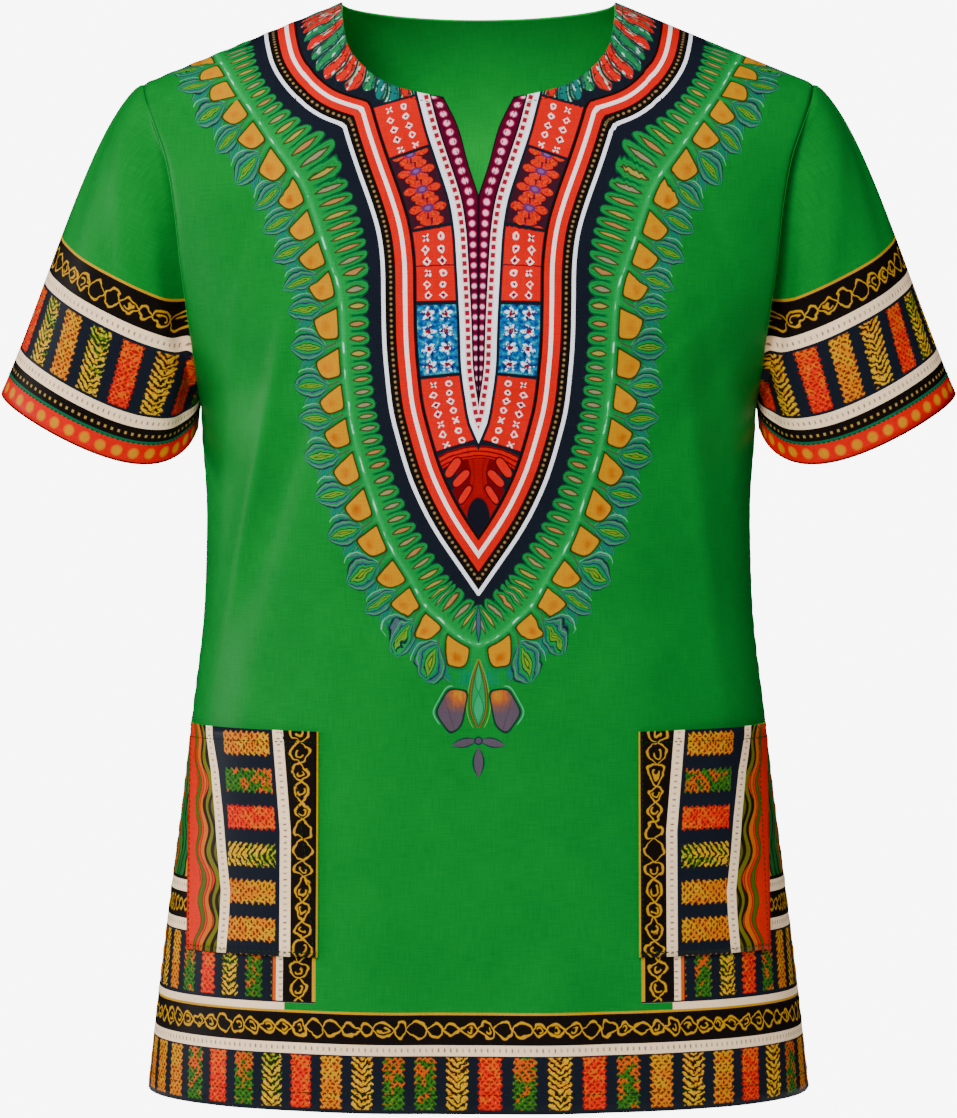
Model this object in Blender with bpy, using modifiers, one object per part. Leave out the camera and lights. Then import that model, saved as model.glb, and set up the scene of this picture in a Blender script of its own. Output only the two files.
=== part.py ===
"""A dashiki shirt, filled out as if worn: hollow front, back, two short sleeves and two patch pockets.

Metres, +Z up, the front faces -Y. The origin lies midway between the shoulders, at the height
where the wearer's shoulders carry the cloth. Heights in the tables are drops below the neck point,
which is where the shoulder seam meets the neckline.
"""
import math
from collections import namedtuple

import bpy
from mathutils import Vector

# ---- driving dimensions -------------------------------------------------------------------------
NECK_POINT_Z = 0.020          # the neck point above the origin
NECK_HALF_WIDTH = 0.0910      # centre line to neck point
SHOULDER_SLOPE = 0.41         # fall of the shoulder seam for each metre outwards
HEM_DROP = 0.721              # neck point down to the hem
UNDERARM_DROP = 0.262         # neck point down to the underarm
CLOTH = 0.0014                # wall of the cloth
SEAM_GAP = 0.0003             # space between two pieces at a seam
ROUNDNESS = 2.3               # power of the rounded section: 2 is an ellipse, more is squarer
SHOULDER_ROUND_FRONT = 0.115  # how far below the seam the shoulder has rounded into the chest
SHOULDER_ROUND_BACK = 0.105

# Sections through the body: drop, half width, depth in front and depth behind.
# Above the underarm the half width runs on into the sleeve, past the armhole seam.
SECTION_COLUMNS = ("drop", "half_width", "front", "back")
SECTIONS = (
    (0.000, 0.2900, 0.0860, 0.0950),
    (0.055, 0.2730, 0.0990, 0.1040),
    (0.084, 0.2600, 0.1050, 0.1085),
    (0.105, 0.2470, 0.1090, 0.1110),
    (0.136, 0.2325, 0.1135, 0.1145),
    (0.178, 0.2170, 0.1190, 0.1165),
    (0.206, 0.2070, 0.1220, 0.1160),
    (0.238, 0.1940, 0.1240, 0.1145),
    (0.262, 0.1855, 0.1245, 0.1125),
    (0.290, 0.1835, 0.1240, 0.1100),
    (0.330, 0.1806, 0.1225, 0.1065),
    (0.370, 0.1808, 0.1205, 0.1035),
    (0.410, 0.1826, 0.1195, 0.1030),
    (0.470, 0.1897, 0.1205, 0.1055),
    (0.530, 0.1966, 0.1235, 0.1105),
    (0.600, 0.2055, 0.1280, 0.1175),
    (0.660, 0.2128, 0.1320, 0.1240),
    (0.721, 0.2195, 0.1385, 0.1310),
)

# The armhole seam from the shoulder tip to the underarm: drop and distance from the centre line.
ARMHOLE = (
    (0.0541, 0.2230),
    (0.0700, 0.2185),
    (0.0860, 0.2125),
    (0.1060, 0.2050),
    (0.1360, 0.1990),
    (0.1780, 0.1945),
    (0.2060, 0.1910),
    (0.2380, 0.1872),
    (0.2620, 0.1855),
)

# The front neckline from the neck point to the notch, and the notch down to its foot: distance
# from the centre line and drop.
FRONT_NECKLINE = (
    (0.0910, 0.0000),
    (0.0888, 0.0190),
    (0.0840, 0.0380),
    (0.0720, 0.0535),
    (0.0570, 0.0640),
    (0.0400, 0.0695),
    (0.0225, 0.0730),
)
NOTCH = (
    (0.0225, 0.0730),
    (0.0130, 0.0930),
    (0.0065, 0.1170),
    (0.0000, 0.1370),
)
BACK_NECK_DROP = 0.003        # middle of the back neckline below the neck point

# Soft folds that the hanging cloth takes: where the fold's middle lies, its half length and half
# width, how high it is (a trough is below zero) and how far its foot leans outwards for each metre.
Fold = namedtuple("Fold", "side across drop half_length half_width height lean")
FOLDS = (
    Fold("front", -0.128, 0.420, 0.150, 0.022, -0.0030, 0.10),
    Fold("front", 0.131, 0.440, 0.160, 0.020, -0.0028, 0.12),
    Fold("front", -0.070, 0.640, 0.140, 0.030, 0.0025, 0.06),
    Fold("front", 0.045, 0.670, 0.120, 0.032, 0.0026, 0.04),
    Fold("front", 0.000, 0.560, 0.160, 0.030, -0.0020, 0.00),
    Fold("front", -0.148, 0.250, 0.055, 0.013, -0.0026, -0.75),
    Fold("front", 0.150, 0.255, 0.060, 0.013, -0.0028, -0.70),
    Fold("back", -0.095, 0.470, 0.170, 0.026, -0.0040, 0.08),
    Fold("back", 0.100, 0.480, 0.160, 0.026, -0.0038, 0.10),
    Fold("back", 0.000, 0.600, 0.180, 0.034, 0.0030, 0.00),
    Fold("back", -0.146, 0.245, 0.060, 0.014, -0.0028, -0.70),
    Fold("back", 0.148, 0.250, 0.060, 0.014, -0.0028, -0.72),
)

# Sleeve: the outer and inner points of the cuff, how deep the cuff is and how its hem dips.
CUFF_OUTER_X, CUFF_OUTER_DROP = 0.3185, 0.2590
CUFF_INNER_X, CUFF_INNER_DROP = 0.1872, 0.2820
CUFF_HALF_DEPTH = 0.058
CUFF_DIP_FRONT = 0.033
CUFF_DIP_BACK = 0.012
CUFF_DIP_SKEW = 0.38          # radians that the lowest point lies towards the body
SLEEVE_FALL = (0.41, 0.0, -0.91)   # the way the sleeve runs at its cuff
SLEEVE_HEAD = 0.45            # how far the sleeve keeps to the shoulder's slope before it falls
UNDERARM_FALL = (0.10, 0.0, -1.0)  # the way its underside leaves the underarm

# Pockets: on the front, by distance from the centre line and drop.
POCKET_INNER = 0.1020
POCKET_OUTER = 0.1890
POCKET_TOP_DROP = 0.4805
POCKET_FOOT_DROP = 0.6240
POCKET_TOP_RISE = 0.002       # the mouth's outer end above its inner end
POCKET_FULLNESS = 0.0024      # how far the mouth stands off the front

# Mesh fineness: the body's columns run from the centre line to the side seam, its rows from the
# hem up, and some of both lie on the pocket's edges.
CENTRE_COLUMNS, POCKET_COLUMNS, SIDE_COLUMNS = 5, 8, 3
HEM_ROWS, POCKET_ROWS, WAIST_ROWS = 3, 5, 6
BODY_COLUMNS = CENTRE_COLUMNS + POCKET_COLUMNS + SIDE_COLUMNS
LOWER_ROWS = HEM_ROWS + POCKET_ROWS + WAIST_ROWS
ARMHOLE_STEPS = 14            # underarm to shoulder
CLOSER_AT_SEAMS = 0.8         # how much closer the armhole's points lie at its two ends
NOTCH_STEPS = 3
NECK_STEPS = 6
SLEEVE_ROWS = 9
SLEEVE_ROW_SPREAD = 1.5       # how much closer the sleeve's rows lie at the armhole

# Colours: base colour, roughness
CLOTH_GREEN = (0.020, 0.290, 0.045)
CUFF_PRINT = (0.190, 0.090, 0.015)
POCKET_PRINT = (0.260, 0.120, 0.020)
COTTON_ROUGHNESS = 0.85


# ---- tables and curves --------------------------------------------------------------------------
def table_value(table, at, column):
    """A column of a table at the given first-column value, on a smooth curve through the rows."""
    keys = [row[0] for row in table]
    at = min(max(at, keys[0]), keys[-1])
    i = max(k for k in range(len(keys) - 1) if keys[k] <= at or k == 0)
    span = keys[i + 1] - keys[i]
    t = (at - keys[i]) / span
    here, there = table[i][column], table[i + 1][column]
    slope = (there - here) / span
    before = (here - table[i - 1][column]) / (keys[i] - keys[i - 1]) if i > 0 else slope
    after = slope
    if i + 2 < len(keys):
        after = (table[i + 2][column] - there) / (keys[i + 2] - keys[i + 1])
    start = (before + slope) / 2 * span
    end = (slope + after) / 2 * span
    return ((2 * t ** 3 - 3 * t ** 2 + 1) * here + (t ** 3 - 2 * t ** 2 + t) * start
            + (3 * t ** 2 - 2 * t ** 3) * there + (t ** 3 - t ** 2) * end)


def even_points(points, steps, closer=0.0):
    """Points along the polyline, steps + 1 of them, evenly spaced or closer towards its ends."""
    lengths = [0.0]
    for a, b in zip(points, points[1:]):
        lengths.append(lengths[-1] + math.dist(a, b))
    result = []
    for k in range(steps + 1):
        part = k / steps
        target = lengths[-1] * (part - closer * math.sin(2 * math.pi * part) / (2 * math.pi))
        i = max(j for j in range(len(points) - 1) if lengths[j] <= target or j == 0)
        t = (target - lengths[i]) / (lengths[i + 1] - lengths[i])
        result.append(tuple(a + (b - a) * t for a, b in zip(points[i], points[i + 1])))
    return result


def smooth_run(table, count=40):
    """Points on a smooth curve through a table of (across, drop) rows."""
    keyed = [(k / (len(table) - 1),) + tuple(row) for k, row in enumerate(table)]
    return [(table_value(keyed, k / count, 1), table_value(keyed, k / count, 2))
            for k in range(count + 1)]


def smooth_step(value):
    """0 below 0, 1 above 1 and an even S between."""
    value = min(max(value, 0.0), 1.0)
    return value * value * (3 - 2 * value)


# ---- the body's form ----------------------------------------------------------------------------
def section(drop, name):
    """The body's half width, or its depth in front or behind, at a drop."""
    return table_value(SECTIONS, drop, SECTION_COLUMNS.index(name))


def shoulder_drop(across):
    """Drop of the shoulder line at a distance from the centre, running on over the neck."""
    across = abs(across)
    if across >= NECK_HALF_WIDTH:
        return (across - NECK_HALF_WIDTH) * SHOULDER_SLOPE
    return (across ** 2 - NECK_HALF_WIDTH ** 2) * SHOULDER_SLOPE / (2 * NECK_HALF_WIDTH)


def shoulder_round(side):
    """How far below the shoulder line the side has its full depth."""
    return SHOULDER_ROUND_FRONT if side == "front" else SHOULDER_ROUND_BACK


def fold_height(side, across, drop):
    """What the soft folds add to the form at a place on the front or back."""
    total = 0.0
    for fold in FOLDS:
        if fold.side != side:
            continue
        along = drop - fold.drop
        aside = across - fold.across - math.copysign(fold.lean * along, fold.across)
        spread = (along / fold.half_length) ** 2 + (aside / fold.half_width) ** 2
        total += fold.height * math.exp(-spread)
    return total


def run_from_drop(side, across, drop):
    """Distance down the cloth from the shoulder line, for a place given by its drop."""
    length = shoulder_round(side)
    below = max(drop - shoulder_drop(across), 0.0)
    if below >= length:
        return length * math.pi / 2 + below - length
    return length * math.acos(1 - below / length)


def drop_from_run(side, across, run):
    """The drop of a place given by its distance down the cloth from the shoulder line."""
    length = shoulder_round(side)
    if run >= length * math.pi / 2:
        return shoulder_drop(across) + length + run - length * math.pi / 2
    return shoulder_drop(across) + length * (1 - math.cos(run / length))


def turn_from_across(across, drop):
    """How far round the body a place lies: 0 at the centre line, pi / 2 at the side seam."""
    part = min(max(across / section(drop, "half_width"), 0.0), 1.0)
    return math.asin(part ** (ROUNDNESS / 2))


def place_on_form(side, turn, run):
    """Across and drop of a place given by its turn and its distance down the cloth."""
    power = 2 / ROUNDNESS
    across = NECK_HALF_WIDTH
    for _ in range(12):
        drop = drop_from_run(side, across, run)
        across = section(drop, "half_width") * math.sin(turn) ** power
    return across, drop_from_run(side, across, run)


def form_point(side, hand, turn, across, drop):
    """The point of the body's form at a turn and drop; hand is -1 or 1."""
    length = shoulder_round(side)
    below = min(max(drop - shoulder_drop(across), 0.0), length) / length
    rounding = math.sqrt(max(1 - (1 - below) ** 2, 0.0))
    share = max(math.cos(turn), 0.0) ** (2 / ROUNDNESS) * rounding
    depth = section(drop, side) + fold_height(side, hand * across, drop)
    depth = depth * share + SEAM_GAP / 2
    return (hand * across, -depth if side == "front" else depth, NECK_POINT_Z - drop)


def armhole_line(side):
    """Across and drop of the armhole seam's points, underarm first, evenly spaced in space."""
    rows = []
    for k in range(161):
        drop = UNDERARM_DROP + (ARMHOLE[0][0] - UNDERARM_DROP) * k / 160
        across = table_value(ARMHOLE, drop, 1)
        turn = turn_from_across(across, drop)
        rows.append(form_point(side, 1, turn, across, drop))
    spaced = even_points(rows, ARMHOLE_STEPS, CLOSER_AT_SEAMS)
    return [(point[0], NECK_POINT_Z - point[2]) for point in spaced]


# ---- front and back -----------------------------------------------------------------------------
def top_edge(side):
    """Across and drop along a half panel's top, from the centre line to the shoulder tip."""
    if side == "front":
        notch = even_points(smooth_run(NOTCH[::-1]), NOTCH_STEPS)
        neck = even_points(smooth_run(FRONT_NECKLINE[::-1]), NECK_STEPS)
        edge = notch + neck[1:]
    else:
        steps = NOTCH_STEPS + NECK_STEPS
        edge = []
        for k in range(steps + 1):
            across = NECK_HALF_WIDTH * math.sin(math.pi / 2 * k / steps)
            edge.append((across, BACK_NECK_DROP * (1 - (across / NECK_HALF_WIDTH) ** 2)))
    left = BODY_COLUMNS - len(edge) + 1
    tip = ARMHOLE[0][1]
    for k in range(1, left + 1):
        across = NECK_HALF_WIDTH + (tip - NECK_HALF_WIDTH) * k / left
        edge.append((across, shoulder_drop(across)))
    return edge


def column_turns(drop):
    """Turns of a row's columns: evenly to the pocket's inner edge, across it, and to the side."""
    drop = max(drop, POCKET_TOP_DROP)
    inner = turn_from_across(POCKET_INNER, drop)
    outer = turn_from_across(POCKET_OUTER, drop)
    turns = [inner * k / CENTRE_COLUMNS for k in range(CENTRE_COLUMNS)]
    turns += [inner + (outer - inner) * k / POCKET_COLUMNS for k in range(POCKET_COLUMNS)]
    turns += [outer + (math.pi / 2 - outer) * k / SIDE_COLUMNS for k in range(SIDE_COLUMNS + 1)]
    return turns


def lower_row(row):
    """A row of (turn, across, drop) below the underarm; the rows by the pocket's mouth rise."""
    if row <= HEM_ROWS:
        drop = HEM_DROP + (POCKET_FOOT_DROP - HEM_DROP) * row / HEM_ROWS
        rise = 0.0
    elif row <= HEM_ROWS + POCKET_ROWS:
        part = (row - HEM_ROWS) / POCKET_ROWS
        drop = POCKET_FOOT_DROP + (POCKET_TOP_DROP - POCKET_FOOT_DROP) * part
        rise = POCKET_TOP_RISE * part
    else:
        part = (row - HEM_ROWS - POCKET_ROWS) / WAIST_ROWS
        drop = POCKET_TOP_DROP + (UNDERARM_DROP - POCKET_TOP_DROP) * part
        rise = POCKET_TOP_RISE * (1 - part)
    places = []
    for column, turn in enumerate(column_turns(drop)):
        share = min(max((column - CENTRE_COLUMNS) / POCKET_COLUMNS, 0.0), 1.0)
        here = drop - rise * share
        width = section(here, "half_width")
        places.append((turn, width * math.sin(turn) ** (2 / ROUNDNESS), here))
    return places


def half_panel(side):
    """Rows of (turn, across, drop) for a half panel, hem first, centre line to side in each row."""
    rows = [lower_row(row) for row in range(LOWER_ROWS)]
    foot = []
    for turn, across, drop in lower_row(LOWER_ROWS):
        foot.append((turn, run_from_drop(side, across, drop)))
    top = [(turn_from_across(a, d), run_from_drop(side, a, d)) for a, d in top_edge(side)]
    rim = [(turn_from_across(a, d), run_from_drop(side, a, d)) for a, d in armhole_line(side)]
    foot[-1], top[-1] = rim[0], rim[-1]
    for j in range(ARMHOLE_STEPS + 1):
        v = j / ARMHOLE_STEPS
        v -= CLOSER_AT_SEAMS * math.sin(2 * math.pi * v) / (2 * math.pi)
        centre = [foot[0][c] + (top[0][c] - foot[0][c]) * v for c in (0, 1)]
        row = []
        for i in range(BODY_COLUMNS + 1):
            u = i / BODY_COLUMNS
            place = []
            for c in (0, 1):
                down_up = foot[i][c] * (1 - v) + top[i][c] * v
                across = centre[c] * (1 - u) + rim[j][c] * u
                corners = ((foot[0][c] * (1 - u) + foot[-1][c] * u) * (1 - v)
                           + (top[0][c] * (1 - u) + top[-1][c] * u) * v)
                place.append(down_up + across - corners)
            turn, run = min(max(place[0], 0.0), math.pi / 2), max(place[1], 0.0)
            row.append((turn,) + place_on_form(side, turn, run))
        rows.append(row)
    return rows


def body_panel(side):
    """Rows of points for a whole front or back, hem first, from -X to +X."""
    panel = []
    for row in half_panel(side):
        left = [form_point(side, -1, *place) for place in row[:0:-1]]
        panel.append(left + [form_point(side, 1, *place) for place in row])
    return panel


# ---- sleeves ------------------------------------------------------------------------------------
def armhole_loop():
    """Armhole points and outward ways of the cloth, from the shoulder tip down the front and up."""
    points, ways = [], []
    for side in ("front", "back"):
        line = []
        for across, drop in armhole_line(side):
            turn, run = turn_from_across(across, drop), run_from_drop(side, across, drop)
            nearer = place_on_form(side, max(turn - 0.03, 0.0), run)
            inner = form_point(side, 1, max(turn - 0.03, 0.0), *nearer)
            point = form_point(side, 1, turn, across, drop)
            line.append((point, [a - b for a, b in zip(point, inner)]))
        if side == "front":
            line.reverse()
            line[0] = ((line[0][0][0], 0.0, line[0][0][2]), line[0][1])
            line[-1] = ((line[-1][0][0], 0.0, line[-1][0][2]), line[-1][1])
        else:
            line = line[1:-1]
        points += [row[0] for row in line]
        ways += [row[1] for row in line]
    return points, ways


def unit(way):
    """The way at length 1."""
    length = math.hypot(*way)
    return [value / length for value in way]


def cuff_point(turn):
    """A point of the cuff's hem: turn 0 at its outer point, pi / 2 in front, pi by the body."""
    middle_x = (CUFF_OUTER_X + CUFF_INNER_X) / 2
    middle_drop = (CUFF_OUTER_DROP + CUFF_INNER_DROP) / 2
    half_x = (CUFF_OUTER_X - CUFF_INNER_X) / 2
    half_drop = (CUFF_OUTER_DROP - CUFF_INNER_DROP) / 2
    lean = math.sin(turn - CUFF_DIP_SKEW * abs(math.sin(turn)) * math.copysign(1, math.sin(turn)))
    dip = (CUFF_DIP_FRONT if lean > 0 else CUFF_DIP_BACK) * abs(lean) ** 1.2
    x = middle_x + half_x * math.cos(turn)
    drop = middle_drop + half_drop * math.cos(turn) + dip
    return (x, -CUFF_HALF_DEPTH * math.sin(turn), NECK_POINT_Z - drop)


def sleeve_rows(hand):
    """Rings of points from the armhole to the cuff, for hand -1 or 1."""
    points, ways = armhole_loop()
    count = len(points)
    rings = [[] for _ in range(SLEEVE_ROWS + 1)]
    for k in range(count):
        part = k / count
        below = smooth_step((1 - abs(2 * part - 1) - 0.45) / 0.5)
        way = unit(ways[k])
        way = unit([a * (1 - below) + b * below for a, b in zip(way, unit(UNDERARM_FALL))])
        start = [a + b * SEAM_GAP for a, b in zip(points[k], way)]
        start[0] += 0.0006 * below
        end = cuff_point(2 * math.pi * part)
        reach = math.dist(start, end)
        fall = unit(SLEEVE_FALL)
        fall = unit([a * (1 - below) + b * below for a, b in zip(fall, unit(UNDERARM_FALL))])
        for j in range(SLEEVE_ROWS + 1):
            t = (j / SLEEVE_ROWS) ** SLEEVE_ROW_SPREAD
            spot = []
            for c in range(3):
                spot.append((2 * t ** 3 - 3 * t ** 2 + 1) * start[c]
                            + (t ** 3 - 2 * t ** 2 + t) * way[c] * reach * SLEEVE_HEAD
                            + (3 * t ** 2 - 2 * t ** 3) * end[c]
                            + (t ** 3 - t ** 2) * fall[c] * reach)
            rings[j].append((hand * spot[0], spot[1], spot[2]))
    return rings


# ---- pockets ------------------------------------------------------------------------------------
def moved_out(rows, row, column, height):
    """A point of a panel moved along the panel's outward normal."""
    here = Vector(rows[row][column])
    along = Vector(rows[row][column + 1]) - Vector(rows[row][column - 1])
    up = Vector(rows[row + 1][column]) - Vector(rows[row - 1][column])
    return tuple(here + along.cross(up).normalized() * height)


def pocket_rows(hand):
    """Rows of points for a pocket, its foot first: the front's own points, moved out."""
    front = body_panel("front")
    rows = []
    for j in range(POCKET_ROWS + 1):
        row = []
        for i in range(POCKET_COLUMNS + 1):
            full = POCKET_FULLNESS * math.sin(math.pi * i / POCKET_COLUMNS) * (j / POCKET_ROWS) ** 2
            column = BODY_COLUMNS + hand * (CENTRE_COLUMNS + i)
            row.append(moved_out(front, HEM_ROWS + j, column, SEAM_GAP + CLOTH + full))
        rows.append(row if hand > 0 else row[::-1])
    return rows


# ---- meshes and materials -----------------------------------------------------------------------
def cotton(name, colour):
    """A plain cotton material."""
    material = bpy.data.materials.new(name)
    material.use_nodes = True
    shader = material.node_tree.nodes["Principled BSDF"]
    shader.inputs["Base Color"].default_value = (*colour, 1.0)
    shader.inputs["Roughness"].default_value = COTTON_ROUGHNESS
    shader.inputs["Metallic"].default_value = 0.0
    return material


def cloth_piece(name, rows, material, collection, closed=False, outward_flip=False):
    """An object from rows of points, given the cloth's wall inwards by Solidify."""
    width = len(rows[0])
    last = width if closed else width - 1
    faces = []
    for j in range(len(rows) - 1):
        for i in range(last):
            here, right = j * width + i, j * width + (i + 1) % width
            face = (here, right, right + width, here + width)
            faces.append(face[::-1] if outward_flip else face)
    mesh = bpy.data.meshes.new(name)
    mesh.from_pydata([point for row in rows for point in row], [], faces)
    mesh.materials.append(material)
    mesh.shade_smooth()
    piece = bpy.data.objects.new(name, mesh)
    collection.objects.link(piece)
    wall = piece.modifiers.new("cloth wall", "SOLIDIFY")
    wall.thickness = CLOTH
    wall.offset = -1.0
    wall.use_even_offset = True
    facets = piece.modifiers.new("even facets", "TRIANGULATE")
    facets.quad_method = "SHORTEST_DIAGONAL"
    return piece


def build_shirt():
    """Front, back, sleeves and pockets, each an object of its own."""
    for thing in list(bpy.data.objects):
        bpy.data.objects.remove(thing)
    collection = bpy.data.collections.new("dashiki_shirt")
    bpy.context.scene.collection.children.link(collection)
    body_cotton = cotton("green_cotton", CLOTH_GREEN)
    cloth_piece("front", body_panel("front"), body_cotton, collection)
    cloth_piece("back", body_panel("back"), body_cotton, collection, outward_flip=True)
    sleeve_cotton = cotton("sleeve_cotton", CUFF_PRINT)
    pocket_cotton = cotton("pocket_cotton", POCKET_PRINT)
    for hand, word in ((-1, "left"), (1, "right")):
        cloth_piece("sleeve_" + word, sleeve_rows(hand), sleeve_cotton, collection,
                    closed=True, outward_flip=hand < 0)
        cloth_piece("pocket_" + word, pocket_rows(hand), pocket_cotton, collection)


build_shirt()
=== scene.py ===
import math

import bpy
import numpy as np
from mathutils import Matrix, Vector


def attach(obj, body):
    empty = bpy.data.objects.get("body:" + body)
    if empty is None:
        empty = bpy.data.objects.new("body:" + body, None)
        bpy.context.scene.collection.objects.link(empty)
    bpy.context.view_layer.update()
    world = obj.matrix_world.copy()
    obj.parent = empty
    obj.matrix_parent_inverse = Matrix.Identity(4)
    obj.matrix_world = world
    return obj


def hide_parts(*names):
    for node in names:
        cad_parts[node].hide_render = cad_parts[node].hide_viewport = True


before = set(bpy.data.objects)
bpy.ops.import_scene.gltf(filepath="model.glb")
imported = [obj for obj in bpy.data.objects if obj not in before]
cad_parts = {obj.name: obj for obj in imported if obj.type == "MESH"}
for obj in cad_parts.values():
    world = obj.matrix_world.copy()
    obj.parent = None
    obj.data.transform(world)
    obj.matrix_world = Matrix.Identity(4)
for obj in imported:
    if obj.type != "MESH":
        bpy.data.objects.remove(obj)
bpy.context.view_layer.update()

# ==== Front ======================================================================================
# The front is one cut of thin printed cotton from shoulder to hem, with a round neck and a notch.
# The cloth is woven plain, printed on its right side only, and hangs from the shoulders in a
# hollow, slightly squared form with a few long soft folds.
NECK_Z = 0.020                # neck point, where the shoulder seam meets the neckline
NECK_HALF = 0.0910
SHOULDER_SLOPE = 0.41
HEM_DROP = 0.721              # drops are measured down from the neck point
UNDERARM_DROP = 0.262
SEAM_GAP = 0.0003
SQUARENESS = 2.3              # 2 would make the body's sections ellipses
SHOULDER_ROUND = {"front": 0.115, "back": 0.105}    # drop in which the shoulder rounds over
CLOTH_WALL = 0.0012

# Drop below the neck point, half width, depth in front, depth behind.
BODY_SECTIONS = np.array((
    (0.000, 0.2900, 0.0860, 0.0950), (0.055, 0.2730, 0.0990, 0.1040),
    (0.084, 0.2600, 0.1050, 0.1085), (0.105, 0.2470, 0.1090, 0.1110),
    (0.136, 0.2325, 0.1135, 0.1145), (0.178, 0.2170, 0.1190, 0.1165),
    (0.206, 0.2070, 0.1220, 0.1160), (0.238, 0.1940, 0.1240, 0.1145),
    (0.262, 0.1855, 0.1245, 0.1125), (0.290, 0.1835, 0.1240, 0.1100),
    (0.330, 0.1806, 0.1225, 0.1065), (0.370, 0.1808, 0.1205, 0.1035),
    (0.410, 0.1826, 0.1195, 0.1030), (0.470, 0.1897, 0.1205, 0.1055),
    (0.530, 0.1966, 0.1235, 0.1105), (0.600, 0.2055, 0.1280, 0.1175),
    (0.660, 0.2128, 0.1320, 0.1240), (0.721, 0.2195, 0.1385, 0.1310),
))
ARMHOLE = np.array((
    (0.0541, 0.2230), (0.0700, 0.2185), (0.0860, 0.2125), (0.1060, 0.2050), (0.1360, 0.1990),
    (0.1780, 0.1945), (0.2060, 0.1910), (0.2380, 0.1872), (0.2620, 0.1855),
))
NECKLINE = np.array((
    (0.0910, 0.0000), (0.0888, 0.0190), (0.0840, 0.0380), (0.0720, 0.0535), (0.0570, 0.0640),
    (0.0400, 0.0695), (0.0225, 0.0730),
))
NOTCH = np.array(((0.0225, 0.0730), (0.0130, 0.0930), (0.0065, 0.1170), (0.0000, 0.1370)))
BACK_NECK_DROP = 0.003

# The soft folds of each side: middle across and drop, half length, half width, height and lean.
# The long drapes come first, then the short pulls by the underarms, the neck and the hem.
FOLDS = {}
FOLDS["front"] = (
    (-0.128, 0.420, 0.150, 0.022, -0.0030, 0.10), (0.131, 0.440, 0.160, 0.020, -0.0028, 0.12),
    (-0.070, 0.640, 0.140, 0.030, 0.0025, 0.06), (0.045, 0.670, 0.120, 0.032, 0.0026, 0.04),
    (0.000, 0.560, 0.160, 0.030, -0.0020, 0.00), (-0.148, 0.250, 0.055, 0.013, -0.0026, -0.75),
    (0.150, 0.255, 0.060, 0.013, -0.0028, -0.70), (-0.166, 0.330, 0.090, 0.008, -0.0010, 0.06),
    (0.160, 0.310, 0.085, 0.009, -0.0040, 0.14), (0.146, 0.350, 0.100, 0.007, 0.0036, 0.12),
    (0.128, 0.225, 0.040, 0.006, -0.0010, -1.10), (0.108, 0.262, 0.050, 0.008, 0.0009, -0.90),
    (-0.118, 0.236, 0.045, 0.007, 0.0009, -1.00), (-0.128, 0.330, 0.080, 0.010, -0.0045, 0.28),
    (-0.150, 0.335, 0.100, 0.0065, 0.0075, 0.22), (-0.168, 0.330, 0.085, 0.0050, 0.0040, 0.08),
    (-0.150, 0.165, 0.050, 0.007, -0.0010, 0.35), (0.152, 0.155, 0.055, 0.007, -0.0011, 0.30),
    (-0.030, 0.680, 0.080, 0.014, -0.0012, 0.05), (0.084, 0.690, 0.070, 0.013, -0.0012, 0.02),
    (-0.150, 0.690, 0.070, 0.014, 0.0012, 0.10), (0.158, 0.680, 0.080, 0.014, 0.0013, 0.08))
FOLDS["back"] = (
    (-0.095, 0.470, 0.170, 0.026, -0.0040, 0.08), (0.100, 0.480, 0.160, 0.026, -0.0038, 0.10),
    (0.000, 0.600, 0.180, 0.034, 0.0030, 0.00), (-0.146, 0.245, 0.060, 0.014, -0.0028, -0.70),
    (0.148, 0.250, 0.060, 0.014, -0.0028, -0.72), (-0.050, 0.180, 0.090, 0.012, -0.0012, 0.25),
    (0.057, 0.200, 0.095, 0.013, -0.0013, 0.22), (-0.120, 0.300, 0.080, 0.010, 0.0014, -0.60),
    (0.118, 0.320, 0.085, 0.011, 0.0014, -0.55), (-0.150, 0.640, 0.090, 0.016, 0.0016, 0.06),
    (0.060, 0.650, 0.100, 0.015, -0.0014, 0.05), (0.148, 0.670, 0.080, 0.015, 0.0013, 0.04))

# Mesh fineness: the solid's own counts times FINE, so that both lie on the same lines.
FINE = 5
CENTRE_COLUMNS, POCKET_COLUMNS, SIDE_COLUMNS = 5 * FINE, 8 * FINE, 3 * FINE
HEM_ROWS, POCKET_ROWS, WAIST_ROWS = 3 * FINE, 5 * FINE, 6 * FINE
BODY_COLUMNS = CENTRE_COLUMNS + POCKET_COLUMNS + SIDE_COLUMNS
LOWER_ROWS = HEM_ROWS + POCKET_ROWS + WAIST_ROWS
ARMHOLE_STEPS = 14 * FINE
ARMHOLE_SAMPLES = 161
CLOSER_AT_SEAMS = 0.8
NOTCH_STEPS, NECK_STEPS = 3 * FINE, 6 * FINE
POCKET_INNER, POCKET_OUTER = 0.1020, 0.1890
POCKET_TOP, POCKET_FOOT, POCKET_RISE = 0.4805, 0.6240, 0.002
SETTLING_ROUNDS = 14          # rounds in which a place and its run come to agree
ARC_SAMPLES = 33              # points along each arc that is measured for the flat cut
# Cloth beside a sewn seam stands up: how far from the seam it is highest, how high, where it ends,
# how unevenly, and the radians of its waves for each metre down and across.
PUFF_PLACE, PUFF_HEIGHT, PUFF_END = 0.0042, 0.0008, 0.030
PUFF_UNEVEN, PUFF_WAVES = 0.35, (430, 210)

# The bake map: the margin round each face in metres, and the share of the map that they fill.
BAKE_MARGIN, BAKE_FILL, BAKE_INNER_FILL = 0.004, 0.985, 0.98


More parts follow.
